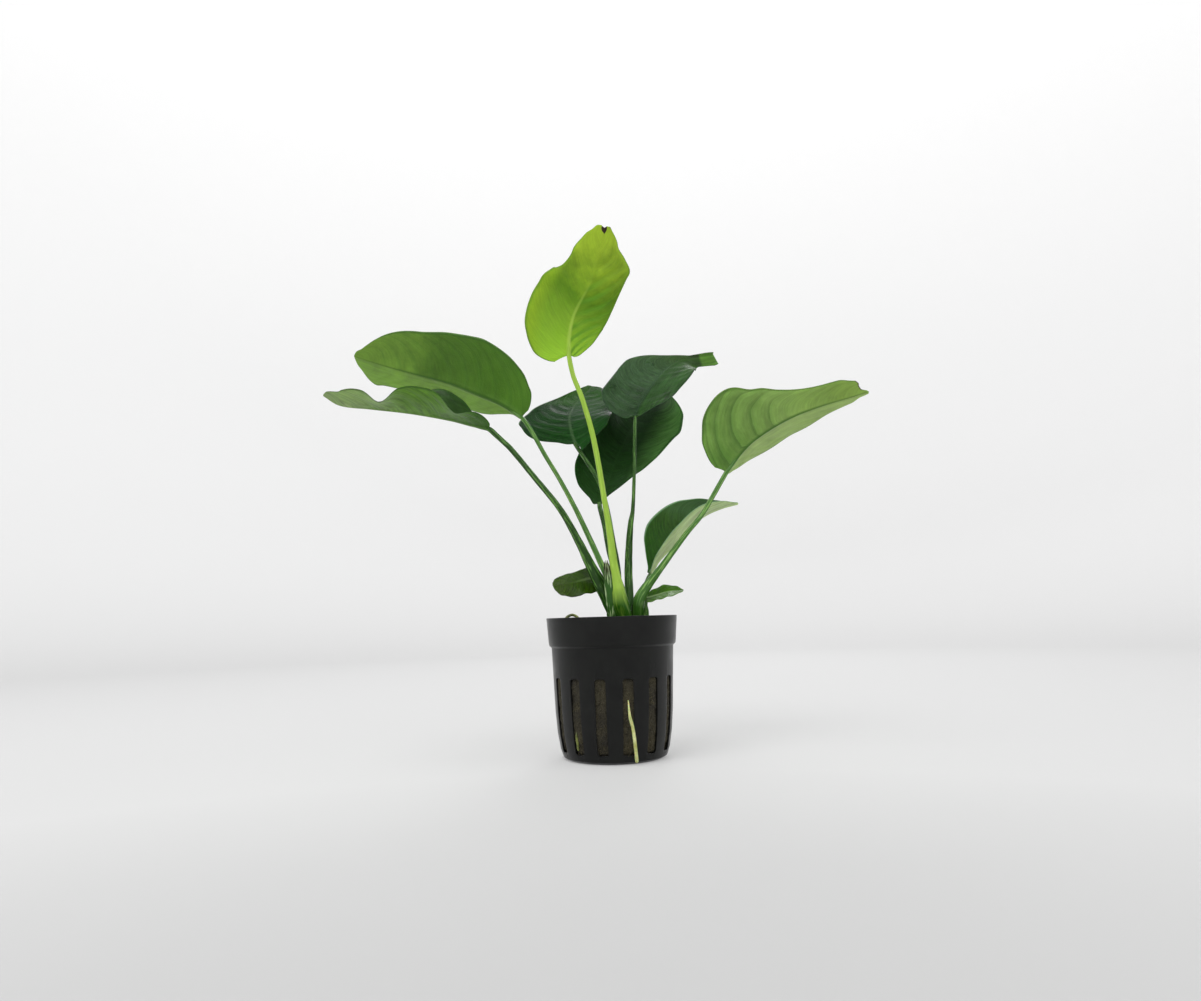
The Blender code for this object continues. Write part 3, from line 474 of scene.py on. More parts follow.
def add_blade(leaf, sizes):
    """A leaf's blade: a closed thin skin with its midrib, its veins and its rounded edge."""
    table = blade_table(leaf)
    steps = np.linspace(0.0, 1.0, len(table))
    length = along(leaf.midrib)[1]
    torn = leaf.end is not WHOLE
    pointed = not torn and leaf.right[-1] < 6
    deepest = max(pull for _, pull in leaf.end) or 1.0
    dry = DRY.get(leaf.name, 0.0)
    thickness = sizes.blade_thickness / MM
    relief = sizes.vein_relief
    rib_height = sizes.rib_height / MM

    def place(u, w):
        # t runs along the blade, with closer rows at its ends, and s across it from -1 to 1
        t = 0.5 - 0.5 * np.cos(math.pi * u)
        upper = w <= 0.5
        sweep = np.where(upper, w, 1 - w) * 2
        s = 0.75 * (2 * sweep - 1) - 0.25 * np.cos(math.pi * sweep)
        a = np.abs(s)
        right = s > 0
        sign = np.where(right, 1.0, -1.0)
        # The edge of the tip is drawn back where tissue is missing
        notch = np.interp(s, *zip(*leaf.end))
        at = t - notch * (1 - dry) / length * fade(t, 0.7, 1.0)
        row = np.stack([np.interp(at, steps, column) for column in table.T], axis=-1)
        point, ahead, side, face = (row[:, k:k + 3] for k in (0, 3, 6, 9))
        width = np.where(right, row[:, 13], row[:, 12])
        if pointed:
            width = width * round_end(1 - t, 0.015)
        # Each half is lifted at the midrib and curls along an arc, out and up from it
        lift = np.where(right, row[:, 16], row[:, 14])
        curl = np.where(right, row[:, 17], row[:, 15]) + 1e-4
        tilt = lift + curl * a
        out = width / curl * (np.sin(tilt) - np.sin(lift))
        up = width / curl * (np.cos(lift) - np.cos(tilt))
        # The base runs back in lobes, and a turned tip slants
        lobe = np.where(right, leaf.lobes[1], leaf.lobes[0])
        back = lobe * a ** 1.5 * np.maximum(1 - at / 0.4, 0.0) ** 2
        back = back - SLANT.get(leaf.name, 0.0) * a * right * fade(t, 0.85, 1.0)
        point = point + side * (out * sign)[:, None] + face * up[:, None] - ahead * back[:, None]
        normal = face * np.cos(tilt)[:, None] - side * (sign * np.sin(tilt))[:, None]
        across = a * width
        # The phase is whole where a side vein runs, and the veins arch towards the tip
        bend = leaf.arc[0] * a + leaf.arc[1] * a ** 3
        phase = leaf.veins * (at - bend) + 0.35 * right + 0.12 * np.sin(9 * at + 2 * sign)
        # The tissue swells between the side veins, and the margin waves a little
        open_part = fade(t, 0.01, 0.12) * (1 - fade(t, 0.8, 0.98)) * (1 - fade(a, 0.8, 1.0))
        quilt = np.where(right, leaf.quilt[1], leaf.quilt[0])
        swell = np.abs(np.sin(math.pi * phase)) ** 0.75
        shift = -quilt * relief * open_part * fade(across, 0.2, 2.5) * swell
        wave = np.sin(2 * math.pi * (3.1 * at + 0.3 * sign))
        shift += 0.22 * a * a * wave * fade(t, 0.0, 0.2) * (1 - fade(t, 0.85, 1.0))
        # Skin on both sides, rounded at the edge and ends, with the midrib on the under face
        ends = round_end(np.minimum(t, 1 - t), 0.012)
        half = thickness / 2 * np.sqrt(np.clip(1 - a ** 10, 0.0, 1.0))
        rib = np.exp(-(across / (1.25 - 0.75 * at)) ** 2)
        under = half + rib_height * (0.12 + 0.88 * (1 - at) ** 0.8) * rib * (1 - fade(a, 0.85, 1.0))
        over = half + rib_height * 0.5 * rib * (1 - fade(at, 0.0, 0.12)) - 0.1 * rib * fade(at, 0.1, 0.25)
        shift += ends * np.where(upper, over, -under)
        point = point + normal * shift[:, None]
        facing = np.clip(np.sin(2 * math.pi * w) * 6, -1.0, 1.0)
        dead = np.zeros_like(t)
        if torn:
            dead = np.clip(1 - ((1 - t) * length - dry * notch) / 0.6, 0, 1)
            dead *= np.clip(2 * notch / deepest - 0.3, 0, 1)
        return (point, np.stack([at, across * sign, phase], axis=-1), np.stack([a, facing, dead], axis=-1))

    grid = SMALL_BLADE_GRID if leaf.name.startswith("small") else BLADE_GRID
    return wrapped_grid("leaf_" + leaf.name, *grid, place, ("place", "edge"))


def seat_point(seat, out):
    """Point on the line that leaves the rhizome at seat (x, lean), out from its axis."""
    x, lean = seat
    lean = math.radians(lean)
    return (x, RHIZOME_Y - out * math.sin(lean), RHIZOME_Z + out * math.cos(lean))


def add_tube(name, points, grid, reference, groove=0.0, lumps=0.0, seed=0.0):
    """A closed round piece along (x, y, z, radius) points, with a groove towards reference."""
    rows, length = along(points)
    steps = np.linspace(0.0, 1.0, TABLE_STEPS + 1)
    table = np.array([smooth(rows, step) for step in steps])
    ahead = np.gradient(table[:, :3], axis=0)
    ahead /= np.linalg.norm(ahead, axis=1)[:, None]
    first = np.array(reference) - ahead * (ahead @ np.array(reference))[:, None]
    first /= np.linalg.norm(first, axis=1)[:, None]
    second = np.cross(ahead, first)
    table = np.hstack([table, first, second])

    def place(u, w):
        row = np.stack([np.interp(u, steps, column) for column in table.T], axis=-1)
        angle = 2 * math.pi * w
        start = round_end(u, points[0][3] / length)
        stop = round_end(1 - u, points[-1][3] / length)
        radius = row[:, 3] * start * stop
        radius *= 1 + 0.04 * np.cos(2 * angle + 0.6) - groove * np.exp(-((np.cos(angle) - 1) / 0.08) ** 2)
        radius *= 1 + lumps * np.sin(length * u * 0.9 + seed + np.cos(angle + seed))
        point = (row[:, :3] + row[:, 4:7] * (radius * np.cos(angle))[:, None]
                 + row[:, 7:10] * (radius * np.sin(angle))[:, None])
        return point, np.stack([u, angle, u * length], axis=-1)

    return wrapped_grid(name, *grid, place, ("place",))


def add_stem(leaf, sizes):
    """A leaf's stem: out of the rhizome, up its own path and on under the blade's base."""
    radius = leaf.stem[0][3]
    foot = [(*seat_point(leaf.seat, out), radius) for out in STEM_FOOT]
    last = leaf.stem[-1][3]
    under = []
    for t, drop, share in STEM_TOP:
        place, _, _, face = midrib_frame(leaf, t)
        under.append((*(place - face * drop), last * share))
    points = [*foot, *leaf.stem, *under]
    reference = (leaf.face[0], leaf.face[1] or 0.9, min(leaf.face[2], 0.3))
    seed = sum(map(ord, leaf.name)) * 0.37
    grid = STEM_GRID if len(leaf.stem) > 3 else SHORT_STEM_GRID
    return add_tube("stem_" + leaf.name, points, grid, reference, groove=sizes.stem_groove,
                    lumps=0.015, seed=seed)


def add_sheath():
    """The dry bud sheath: a thin trough that curls round the stems, frayed at its tip."""
    rows = along(OLD_SHEATH)[0]
    reference = Vector((-0.2, -1.0, 0.1))

    def place(u, w):
        upper = w <= 0.5
        sweep = np.where(upper, w, 1 - w) * 2
        s = 2 * sweep - 1
        points = []
        for t, across, over in zip(u, s, upper):
            frayed = min(t - 0.06 * (0.5 + 0.5 * math.sin(7 * across)) * t ** 4, 1.0)
            middle = Vector(smooth(rows, frayed))
            ahead = Vector(smooth(rows, min(t + 0.02, 1))) - Vector(smooth(rows, max(t - 0.02, 0)))
            ahead.normalize()
            face = (reference - ahead * reference.dot(ahead)).normalized()
            side = ahead.cross(face)
            width = smooth(SHEATH_WIDTHS, t)[0]
            fold = across * 0.9
            back = width * (1 - math.cos(fold)) * 0.7
            point = middle + side * (width * math.sin(fold) / 0.9) - face * back
            wrinkle = 0.08 * math.sin(19 * t + 5 * across) + 0.06 * math.sin(11 * across)
            skin = 0.14 * math.sqrt(max(1 - across ** 6, 0.0)) * (1 if over else -1)
            points.append(point + face * (wrinkle + skin))
        return np.array([tuple(p) for p in points]), np.stack([u, s, u * 25.0], axis=-1)

    return wrapped_grid("old_sheath", *SHEATH_GRID, place, ("place",))


def turned_piece(name, profile, rows, columns, wobble=None):
    """A piece turned round Z from a (radius, height) profile.

    It keeps every point of the profile where it has one row for each step between them.
    """
    shares, radii, _, heights = map(np.array, zip(*along([(r, 0.0, h) for r, h in profile])[0]))

    def place(u, w):
        if rows == len(profile) - 1:
            index = np.rint(u * rows).astype(int)
            radius, height = radii[index], heights[index]
        else:
            radius, height = np.interp(u, shares, radii), np.interp(u, shares, heights)
        angle = 2 * math.pi * w
        points = np.stack([radius * np.sin(angle), -radius * np.cos(angle), height], axis=-1)
        return (wobble(points) if wobble else points,)

    return wrapped_grid(name, rows, columns, place)


def rounded(profile, corners):
    """The profile with the corners named by their place replaced by short arcs."""
    made = []
    for i, point in enumerate(profile):
        size = corners.get(i)
        if not size:
            made.append(point)
            continue
        here, before, after = (Vector(p) for p in (point, profile[i - 1], profile[i + 1]))
        start = here + (before - here).normalized() * size
        stop = here + (after - here).normalized() * size
        for k in range(5):
            t = k / 4
            made.append(tuple(start * (1 - t) ** 2 + here * 2 * t * (1 - t) + stop * t * t))
    return made


def add_pot(sizes):
    """The moulded net pot: a spun wall with a rim band, slots with rounded ends, floor slits."""
    wall = sizes.pot_wall / MM
    rim, top = POT_OUTSIDE[-1]
    inside = [(radius - wall, max(height, POT_FLOOR)) for radius, height in POT_OUTSIDE[1:-1]]
    outline = [(0, 0), *POT_OUTSIDE, (rim - wall, top), *inside[::-1], (0, POT_FLOOR)]
    profile = rounded(outline, POT_CORNERS)
    pot = turned_piece("pot", profile, len(profile) - 1, SLOTS * 12)
    cutters = []
    for i in range(SLOTS):
        turn = math.radians(SLOT_TURN + i * 360 / SLOTS)
        cutters.append(slot_cutter(turn, SLOT_REACH, sizes.slot_width / MM, SLOT_HEIGHT, SLOT_CORNER))
        if i % 2 == 0:
            cutters.append(slot_cutter(turn, DRAIN_REACH, DRAIN_WIDTH, DRAIN_HEIGHT))
    select(*cutters)
    bpy.ops.object.join()
    select(pot)
    cut = pot.modifiers.new("slots", "BOOLEAN")
    cut.operation = "DIFFERENCE"
    cut.solver = "EXACT"
    cut.object = cutters[0]
    bpy.ops.object.modifier_apply(modifier=cut.name)
    bpy.data.objects.remove(cutters[0], do_unlink=True)
    edge = pot.modifiers.new("worn edges", "BEVEL")
    edge.width = 0.12 * MM
    edge.segments = 2
    edge.limit_method = "ANGLE"
    edge.angle_limit = math.radians(50)
    bpy.ops.object.modifier_apply(modifier=edge.name)
    bpy.ops.object.shade_smooth_by_angle(angle=math.radians(35))
    return pot


def slot_cutter(turn, reach, width, heights, corner=0.0):
    """An upright box for one slot, with rounded corners as seen from outside."""
    bpy.ops.mesh.primitive_cube_add(size=1.0)
    box = bpy.context.active_object
    size = Vector((width, reach[1] - reach[0], heights[1] - heights[0]))
    middle = Vector((0.0, -(reach[0] + reach[1]) / 2, (heights[0] + heights[1]) / 2))
    box.data.transform(Matrix.Translation(middle * MM) @ Matrix.Diagonal((*(size * MM), 1.0)))
    if corner:
        bpy.ops.object.mode_set(mode="EDIT")
        bpy.ops.mesh.select_all(action="DESELECT")
        bpy.ops.mesh.select_mode(type="EDGE")
        bpy.ops.object.mode_set(mode="OBJECT")
        for edge in box.data.edges:
            a, b = (box.data.vertices[i].co for i in edge.vertices)
            edge.select = abs(abs((b - a).normalized().y) - 1) < 0.01
        bpy.ops.object.mode_set(mode="EDIT")
        bpy.ops.mesh.bevel(offset=corner * MM, segments=4, affect="EDGES")
        bpy.ops.object.mode_set(mode="OBJECT")
    box.data.transform(Matrix.Rotation(turn, 4, "Z"))
    return box


def rhizome_radius(x):
    """Radius of the rhizome at x, 0 past its ends."""
    xs, radii = zip(*RHIZOME_PATH)
    return np.where((x > xs[0]) & (x < xs[-1]), np.interp(x, xs, radii), 0.0)


def add_wool():
    """The wool plug, lumpy on top and pressed down where the rhizome lies."""
    walls = [(radius - WOOL_GAP, height) for radius, height in POT_OUTSIDE]
    edge = walls[6][0]
    profile = [(0, WOOL_FOOT), (walls[1][0] - 1.2, WOOL_FOOT), (walls[2][0] - 0.2, walls[2][1] + 0.2),
               *walls[3:6], (edge, WOOL_TOP - 3), (edge - 0.6, WOOL_TOP - 1), (edge - 2.2, WOOL_TOP),
               (0, WOOL_TOP)]

    def wobble(points):
        out = points.copy()
        for i, point in enumerate(points):
            lump = noise.fractal(Vector(point) * 0.35, 1.0, 2.0, 4)
            fine = noise.noise(Vector(point) * 1.9)
            if point[2] > WOOL_TOP - 3.5:
                grit = noise.noise(Vector(point) * 4.3)
                out[i, 2] += 1.1 * lump + 0.6 * fine + 0.4 * grit - 0.3
            reach = math.hypot(point[0], point[1])
            if reach <= 1:
                continue
            outer = reach > 12
            hollow = (0.35 + 0.55 * abs(lump) + 0.3 * fine) / reach * (1.0 if outer else 0.3)
            out[i, :2] *= min(1 - hollow, 1.0)
            # The wool swells out a little into each slot of the pot
            off = (math.atan2(point[0], -point[1]) - math.radians(SLOT_TURN)) / (2 * math.pi) * SLOTS
            off = abs(off - round(off)) * 2 * math.pi * reach / SLOTS
            inside = min(point[2] - SLOT_HEIGHT[0], SLOT_HEIGHT[1] - point[2])
            if off < 3.1 and inside > -0.8 and outer:
                out[i, :2] *= 1 + 1.25 * min((3.1 - off) / 0.6, 1.0) * min(inside + 0.8, 1.0) / reach
        radius = rhizome_radius(out[:, 0])
        beside = out[:, 1] - RHIZOME_Y
        under = RHIZOME_Z - np.sqrt(np.maximum(radius ** 2 - beside ** 2, 0.0)) - 0.1
        pressed = np.minimum(out[:, 2], np.maximum(under, 38.0))
        out[:, 2] = np.where(np.abs(beside) < radius, pressed, out[:, 2])
        return out

    return turned_piece("mineral_wool", profile, *WOOL_GRID, wobble)


def add_fibres(sizes):
    """Loose wool fibres that stand off the plug, as one mesh of thin curved threads."""
    draw = random.Random(FIBRE_SEED)
    verts, faces = [], []
    sides, steps = 3, 5
    radii, heights = zip(*POT_OUTSIDE)
    for _ in range(sizes.fibres):
        angle = draw.uniform(0, 2 * math.pi)
        in_slot = draw.random() < FIBRES_IN_SLOTS
        if in_slot:
            z = draw.uniform(4.6, 30.0)
            reach = np.interp(z, heights, radii) - 0.75
            slot = 2 * math.pi * draw.randrange(SLOTS) / SLOTS
            angle = math.radians(SLOT_TURN) + slot + draw.gauss(0, 0.03)
            out = Vector((math.sin(angle), -math.cos(angle), 0.0))
            limit = reach + 0.28
        else:
            z = WOOL_TOP + 0.1
            reach = 22.0 * math.sqrt(draw.random())
            out = Vector((0, 0, 1))
            limit = 22.4
        start = Vector((reach * math.sin(angle), -reach * math.cos(angle), z))
        if not in_slot and abs(start.y - RHIZOME_Y) < rhizome_radius(start.x):
            continue
        heading = Vector([draw.gauss(0, 1) for _ in range(3)])
        heading = (heading - out * heading.dot(out)).normalized()
        bend = Vector([draw.gauss(0, 0.35) for _ in range(3)])
        long = draw.uniform(0.4, 1.0) * sizes.fibre_length / MM
        thick = draw.uniform(0.05, 0.13)
        base = len(verts)
        for i in range(steps + 1):
            t = i / steps
            lift = 0.35 * math.sin(math.pi * t) - 0.25 + (0.5 if out.z else 0.0) * t * draw.uniform(0.2, 1.0)
            middle = start + heading * (t - 0.5) * long + bend * (t - 0.5) ** 2 * long + out * lift
            flat = math.hypot(middle.x, middle.y)
            middle.x, middle.y = middle.x * min(1, limit / flat), middle.y * min(1, limit / flat)
            across = heading.cross(out)
            for k in range(sides):
                turn = 2 * math.pi * k / sides
                spoke = across * math.cos(turn) + out * math.sin(turn)
                verts.append(middle + spoke * thick * (1.05 - t * 0.5))
        for i in range(steps):
            for k in range(sides):
                j = (k + 1) % sides
                a, b = base + i * sides, base + (i + 1) * sides
                faces.append((a + k, a + j, b + j, b + k))
        faces.append(tuple(base + k for k in range(sides))[::-1])
        faces.append(tuple(base + steps * sides + k for k in range(sides)))
    mesh = bpy.data.meshes.new("wool_fibres")
    mesh.from_pydata([tuple(v * MM) for v in verts], [], faces)
    piece = bpy.data.objects.new("wool_fibres", mesh)
    bpy.context.scene.collection.objects.link(piece)
    select(piece)
    close_up(piece, 0.0001)
    return piece


def add_rhizome():
    """The rhizome, with ring scars where old leaves have dropped off."""
    points = [(x, RHIZOME_Y, RHIZOME_Z, radius) for x, radius in RHIZOME_PATH]
    piece = add_tube("rhizome", points, RHIZOME_GRID, (0.0, 0.0, 1.0))
    # Rings of a dark groove and a low ridge beside it, a little slanted and uneven
    for vert in piece.data.vertices:
        x, y, z = vert.co / MM
        spoke = Vector((0.0, y - RHIZOME_Y, z - RHIZOME_Z))
        if spoke.length < 0.2:
            continue
        slant = x + 0.18 * spoke.y + 0.5 * noise.noise(Vector((x, y, z)) * 0.3)
        ring = slant / SCAR_SPACING % 1.0
        scar = 0.12 * math.exp(-((ring - 0.3) / 0.15) ** 2) - 0.35 * math.exp(-((ring - 0.12) / 0.09) ** 2)
        bark = 0.18 * noise.fractal(Vector((x, y, z)) * 0.9, 1.0, 2.0, 3)
        vert.co += spoke.normalized() * (scar + bark) * MM
    close_up(piece)
    return piece


def feed(socket, value):
    """Give a socket a value, another socket or a node's first output."""
    if isinstance(value, bpy.types.Node):
        value = next(s for s in value.outputs if s.enabled)
    if isinstance(value, bpy.types.NodeSocket):
        socket.id_data.links.new(value, socket)
    elif value is not None:
        socket.default_value = value


def add_node(tree, kind, *inputs, **settings):
    """Add a shader node with its settings, and feed its inputs in their order (None leaves one)."""
    made = tree.nodes.new("ShaderNode" + kind)
    for key, value in settings.items():
        setattr(made, key, value)
    for socket, value in zip([s for s in made.inputs if s.enabled], inputs):
        feed(socket, value)
    return made


def set_ramp(ramp, stops):
    """Fill a colour ramp with (place, colour) stops."""
    elements = ramp.color_ramp.elements
    while len(elements) < len(stops):
        elements.new(0.5)
    for element, (place, colour) in zip(elements, stops):
        element.position = place
        element.color = colour


def new_material(name, roughness, **constants):
    """A material, its Principled shader with what is the same all over, and add_node for it."""
    made = bpy.data.materials.new(name)
    made.use_nodes = True
    shader = made.node_tree.nodes["Principled BSDF"]
    for key, value in {"Roughness": roughness, **constants}.items():
        shader.inputs[key.replace("_", " ")].default_value = value
    return made, shader, partial(add_node, made.node_tree)


def solid(colour):
    """A property's colour with an alpha of 1."""
    return (*colour[:3], 1.0)


def leaf_material(leaf, colours):
    """Fresh leaf: a waxy skin over moist tissue.

    To the eye: green that changes along the blade in soft clouds, one half paler, partly
    by a painted sheen, side veins that curve to the tip with the tissue swelling between
    them and painted shading over each swell, fine streaks, a clear midrib, a thin darker
    edge and a soft wet gloss.
    """
    finish = FINISH[leaf.name]
    tone = {part: solid(getattr(colours, f"{leaf.name}_{part}")) for part in PARTS}
    made, shader, add = new_material("waxy leaf " + leaf.name, finish.rough, Subsurface_Weight=0.25,
                                     Subsurface_Scale=0.0012, Subsurface_Radius=TISSUE,
                                     Specular_IOR_Level=finish.gloss)
    place = add("Attribute", attribute_name="place").outputs["Vector"]
    share, across, phase = add("SeparateXYZ", place).outputs
    edge = add("Attribute", attribute_name="edge").outputs["Vector"]
    reach, facing, dead = add("SeparateXYZ", edge).outputs
    spot = add("TexCoord").outputs["Object"]

    # Clouds of lighter and darker green, about 12 mm and 3 mm across
    cloud = add("TexNoise", spot, 85, 4, 0.62)
    shifted = add("Math", cloud, 0.5, share, operation="MULTIPLY_ADD")
    green = add("ValToRGB", add("Math", shifted, 0.25, operation="SUBTRACT"))
    set_ramp(green, ((0.03, tone["stem_end"]), (0.48, tone["middle"]), (0.85, tone["tip"])))
    # One half paler: partly the leaf's own tone and partly a painted sheen of the bright floor and backdrop
    beyond = add("Math", across, finish.paler, operation="MULTIPLY")
    paler = add("MapRange", beyond, *finish.blend, 0, finish.half)
    green = add("Mix", paler, green, tone["half"], data_type="RGBA")

    # Streaks along the veins, about 0.8 mm apart, and painted shading of each swell: lighter just past a
    # vein and darker towards the next
    wander = add("Math", cloud, 0.3, phase, operation="MULTIPLY_ADD")
    lanes = add("CombineXYZ", wander, across, facing)
    by_vein = add("Mapping", lanes, None, None, (8, 0.15, 1))
    by_length = add("Mapping", lanes, None, None, (0.35, 0.7, 1))
    ribbed = add("MapRange", beyond, -0.1, 0.4, 0, finish.ribbed)
    lanes = add("Mix", ribbed, by_vein, by_length, data_type="VECTOR")
    lanes = add("TexNoise", lanes, 1, 5, 0.65)
    streak = add("MapRange", lanes, 0.3, 0.7, 1 - 0.4 * finish.streak, 1 + 0.4 * finish.streak)
    # Painted shading of the swells between the side veins
    between = add("Math", wander, operation="FRACT")
    between = add("MapRange", between, 0.1, 1, finish.band, -finish.band)
    last = add("MapRange", share, finish.vein_end - 0.25, finish.vein_end, 1, 0,
               interpolation_type="SMOOTHSTEP")
    side = add("MapRange", beyond, -0.5, 0.5, 1, finish.weak)
    last = add("Math", last, side, operation="MULTIPLY")
    between = add("Math", between, last, streak, operation="MULTIPLY_ADD")
    mottle = add("MapRange", cloud, 0.25, 0.75, -0.2, 0.2)
    light = add("Math", between, mottle, operation="ADD")
    grey = add("CombineColor", light, light, light)
    green = add("Mix", 1, green, grey, data_type="RGBA", blend_type="MULTIPLY")
    other = add("Mix", 0.8, tone["back"], grey, data_type="RGBA", blend_type="MULTIPLY")

    # Side veins: a line where the phase is whole, fading at the edge and towards the tip
    from_vein = add("Math", wander, 0.5, operation="PINGPONG")
    vein = add("MapRange", from_vein, 0, finish.broad, 1, 0, interpolation_type="SMOOTHERSTEP")
    rim = add("MapRange", reach, 0.6, 0.97, finish.vein, 0)
    patchy = add("MapRange", cloud, 0.35, 0.6, 0.45, 1)
    for part in (rim, last, patchy):
        vein = add("Math", vein, part, operation="MULTIPLY")

    # Midrib: 1.5 mm wide by the stem and 0.3 mm at the tip
    width = add("MapRange", share, 0, 1, 0.75, 0.15)
    off = add("Math", add("Math", across, operation="ABSOLUTE"), width, operation="DIVIDE")
    rib = add("MapRange", off, 0.4, 1.4, finish.rib, 0)
    thins = add("MapRange", share, finish.rib_end * 0.4, finish.rib_end, 1, 0)
    rib = add("Math", rib, thins, operation="MULTIPLY")
    for factor, part in ((vein, "vein"), (rib, "rib")):
        green = add("Mix", factor, green, tone[part], data_type="RGBA")
        other = add("Mix", factor, other, tone[part], data_type="RGBA")

    # The other face, the darker edge and the dead tip
    front = -0.3 if finish.under else 0.3
    turned = add("MapRange", facing, front, -front)
    if finish.flag < 1:
        flag = add("MapRange", share, finish.flag, finish.flag + 0.02)
        turned = add("Math", turned, flag, operation="MAXIMUM")
    line = add("MapRange", reach, 0.93, 0.98, 0, 0.85)
    brown = add("MapRange", dead, 0.12, 0.5)
    for factor, shade in ((turned, other), (line, tone["edge"]), (brown, solid(colours.dead_tip))):
        green = add("Mix", factor, green, shade, data_type="RGBA")
    feed(shader.inputs["Base Color"], green)

    # Skin: cells too fine to show are drawn 0.6 mm wide, over the relief of streaks and clouds
    skin = add("TexNoise", spot, 1600, 2)
    lift = add("Math", lanes, 2, skin, operation="MULTIPLY_ADD")
    lift = add("Math", cloud, 6, lift, operation="MULTIPLY_ADD")
    feed(shader.inputs["Normal"], add("Bump", 0.5, 0.00015, None, lift))
    dull = add("MapRange", cloud, 0.3, 0.7, finish.rough - 0.06, finish.rough + 0.08)
    feed(shader.inputs["Roughness"], dull)
    return made


def stem_material(name, low, high, light, tip=None):
    """Wet leaf stem: smooth firm skin with fine lengthwise lines and a film of water, whose glints are
    painted into the light lines.
    """
    made, shader, add = new_material(name, 0.18, Subsurface_Weight=0.15, Subsurface_Scale=0.001,
                                     Subsurface_Radius=TISSUE, Specular_IOR_Level=0.2)
    place = add("Attribute", attribute_name="place").outputs["Vector"]
    share, angle, run = add("SeparateXYZ", place).outputs
    green = add("ValToRGB", share)
    stops = [(0.075, solid(low)), (0.13, solid(high))]
    if tip:
        stops += [(0.6, solid(high)), (0.9, solid(tip))]
    set_ramp(green, stops)
    # Lines along the stem, about 0.5 mm apart, in the light colour: fine lines of its own and painted glints
    # of the water film
    cosine = add("Math", angle, operation="COSINE")
    sine = add("Math", angle, operation="SINE")
    slow = add("Math", run, 0.06, operation="MULTIPLY")
    lines = add("TexNoise", add("CombineXYZ", cosine, sine, slow), 2.6, 3)
    factor = add("MapRange", lines, 0.5, 0.64, 0, 0.85)
    above = add("MapRange", share, 0.07, 0.16, 0.25)
    factor = add("Math", factor, above, operation="MULTIPLY")
    feed(shader.inputs["Base Color"], add("Mix", factor, green, solid(light), data_type="RGBA"))
    feed(shader.inputs["Normal"], add("Bump", 0.3, 0.0002, None, lines))
    return made


def cloudy_material(name, stops, scale, roughness, bump_scale, bump_depth, **constants):
    """A dull natural material: clouds of colour and a rough grain, sizes as 1 over metres."""
    made, shader, add = new_material(name, roughness, **constants)
    spot = add("TexCoord").outputs["Object"]
    colour = add("ValToRGB", add("TexNoise", spot, scale, 4, 0.6))
    set_ramp(colour, [(place, solid(shade)) for place, shade in stops])
    feed(shader.inputs["Base Color"], colour)
    grain = add("TexNoise", spot, bump_scale, 5)
    feed(shader.inputs["Normal"], add("Bump", 0.8, bump_depth, None, grain))
    return made


def pot_material(colours):
    """Moulded polypropylene: near black, satin, with a faint haze and a fine grain."""
    made, shader, add = new_material("moulded polypropylene", 0.36, IOR=1.49, Specular_IOR_Level=0.25,
                                     Sheen_Weight=0.18, Sheen_Roughness=0.3)
    spot = add("TexCoord").outputs["Object"]
    haze = add("TexNoise", spot, 160, 5)
    colour = add("ValToRGB", haze)
    set_ramp(colour, ((0.35, solid(colours.pot)), (0.7, solid(colours.pot_haze))))
    feed(shader.inputs["Base Color"], colour)
    feed(shader.inputs["Roughness"], add("MapRange", haze, 0.3, 0.7, 0.3, 0.45))
    # Grain of the mould, 0.4 mm, drawn coarser than the real one so that it shows
    grain = add("TexNoise", spot, 2500, 2)
    feed(shader.inputs["Normal"], add("Bump", 0.12, 0.00005, None, grain))
    return made


def colour_property(name, description, code):
    """A colour, given as sRGB."""
    return bpy.props.FloatVectorProperty(name=name, description=description, default=linear(code)[:3],
                                         size=3, min=0.0, max=1.0, subtype="COLOR")


def length_property(name, description, size, least, most):
    """A length in millimetres, with the least and the most that it may be."""
    return bpy.props.FloatProperty(name=name, description=description, default=size * MM, min=least * MM,
                                   max=most * MM, unit="LENGTH", precision=5)


class AnubiasSizes(bpy.types.PropertyGroup):
    """Sizes that a user may change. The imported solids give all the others."""
    blade_thickness: length_property(
        "Blade thickness", "Thickness of a leaf's blade between its veins", 0.45, 0.2, 1.0)
    rib_height: length_property(
        "Midrib height", "How far the midrib stands out under the blade by its stem", 0.75, 0.0, 2.0)
    vein_relief: bpy.props.FloatProperty(
        name="Vein relief", description="Depth of the folds along side veins, as a share of each leaf's own",
        default=1.0, min=0.0, max=3.0, subtype="FACTOR")
    stem_groove: bpy.props.FloatProperty(
        name="Stem groove", description="Depth of the groove along each stem, as a share of its radius",
        default=0.14, min=0.0, max=0.4, subtype="FACTOR")
    pot_wall: length_property("Pot wall", "Thickness of the pot's wall", 1.1, 0.6, 2.0)
    slot_width: length_property("Slot width", "Width of each upright slot in the pot", 4.2, 1.0, 6.0)
    fibres: bpy.props.IntProperty(
        name="Wool fibres", description="Number of loose fibres on the wool", default=1500, min=0, max=4000)
    fibre_length: length_property("Fibre length", "Length of the longest loose fibres", 6.0, 1.0, 15.0)


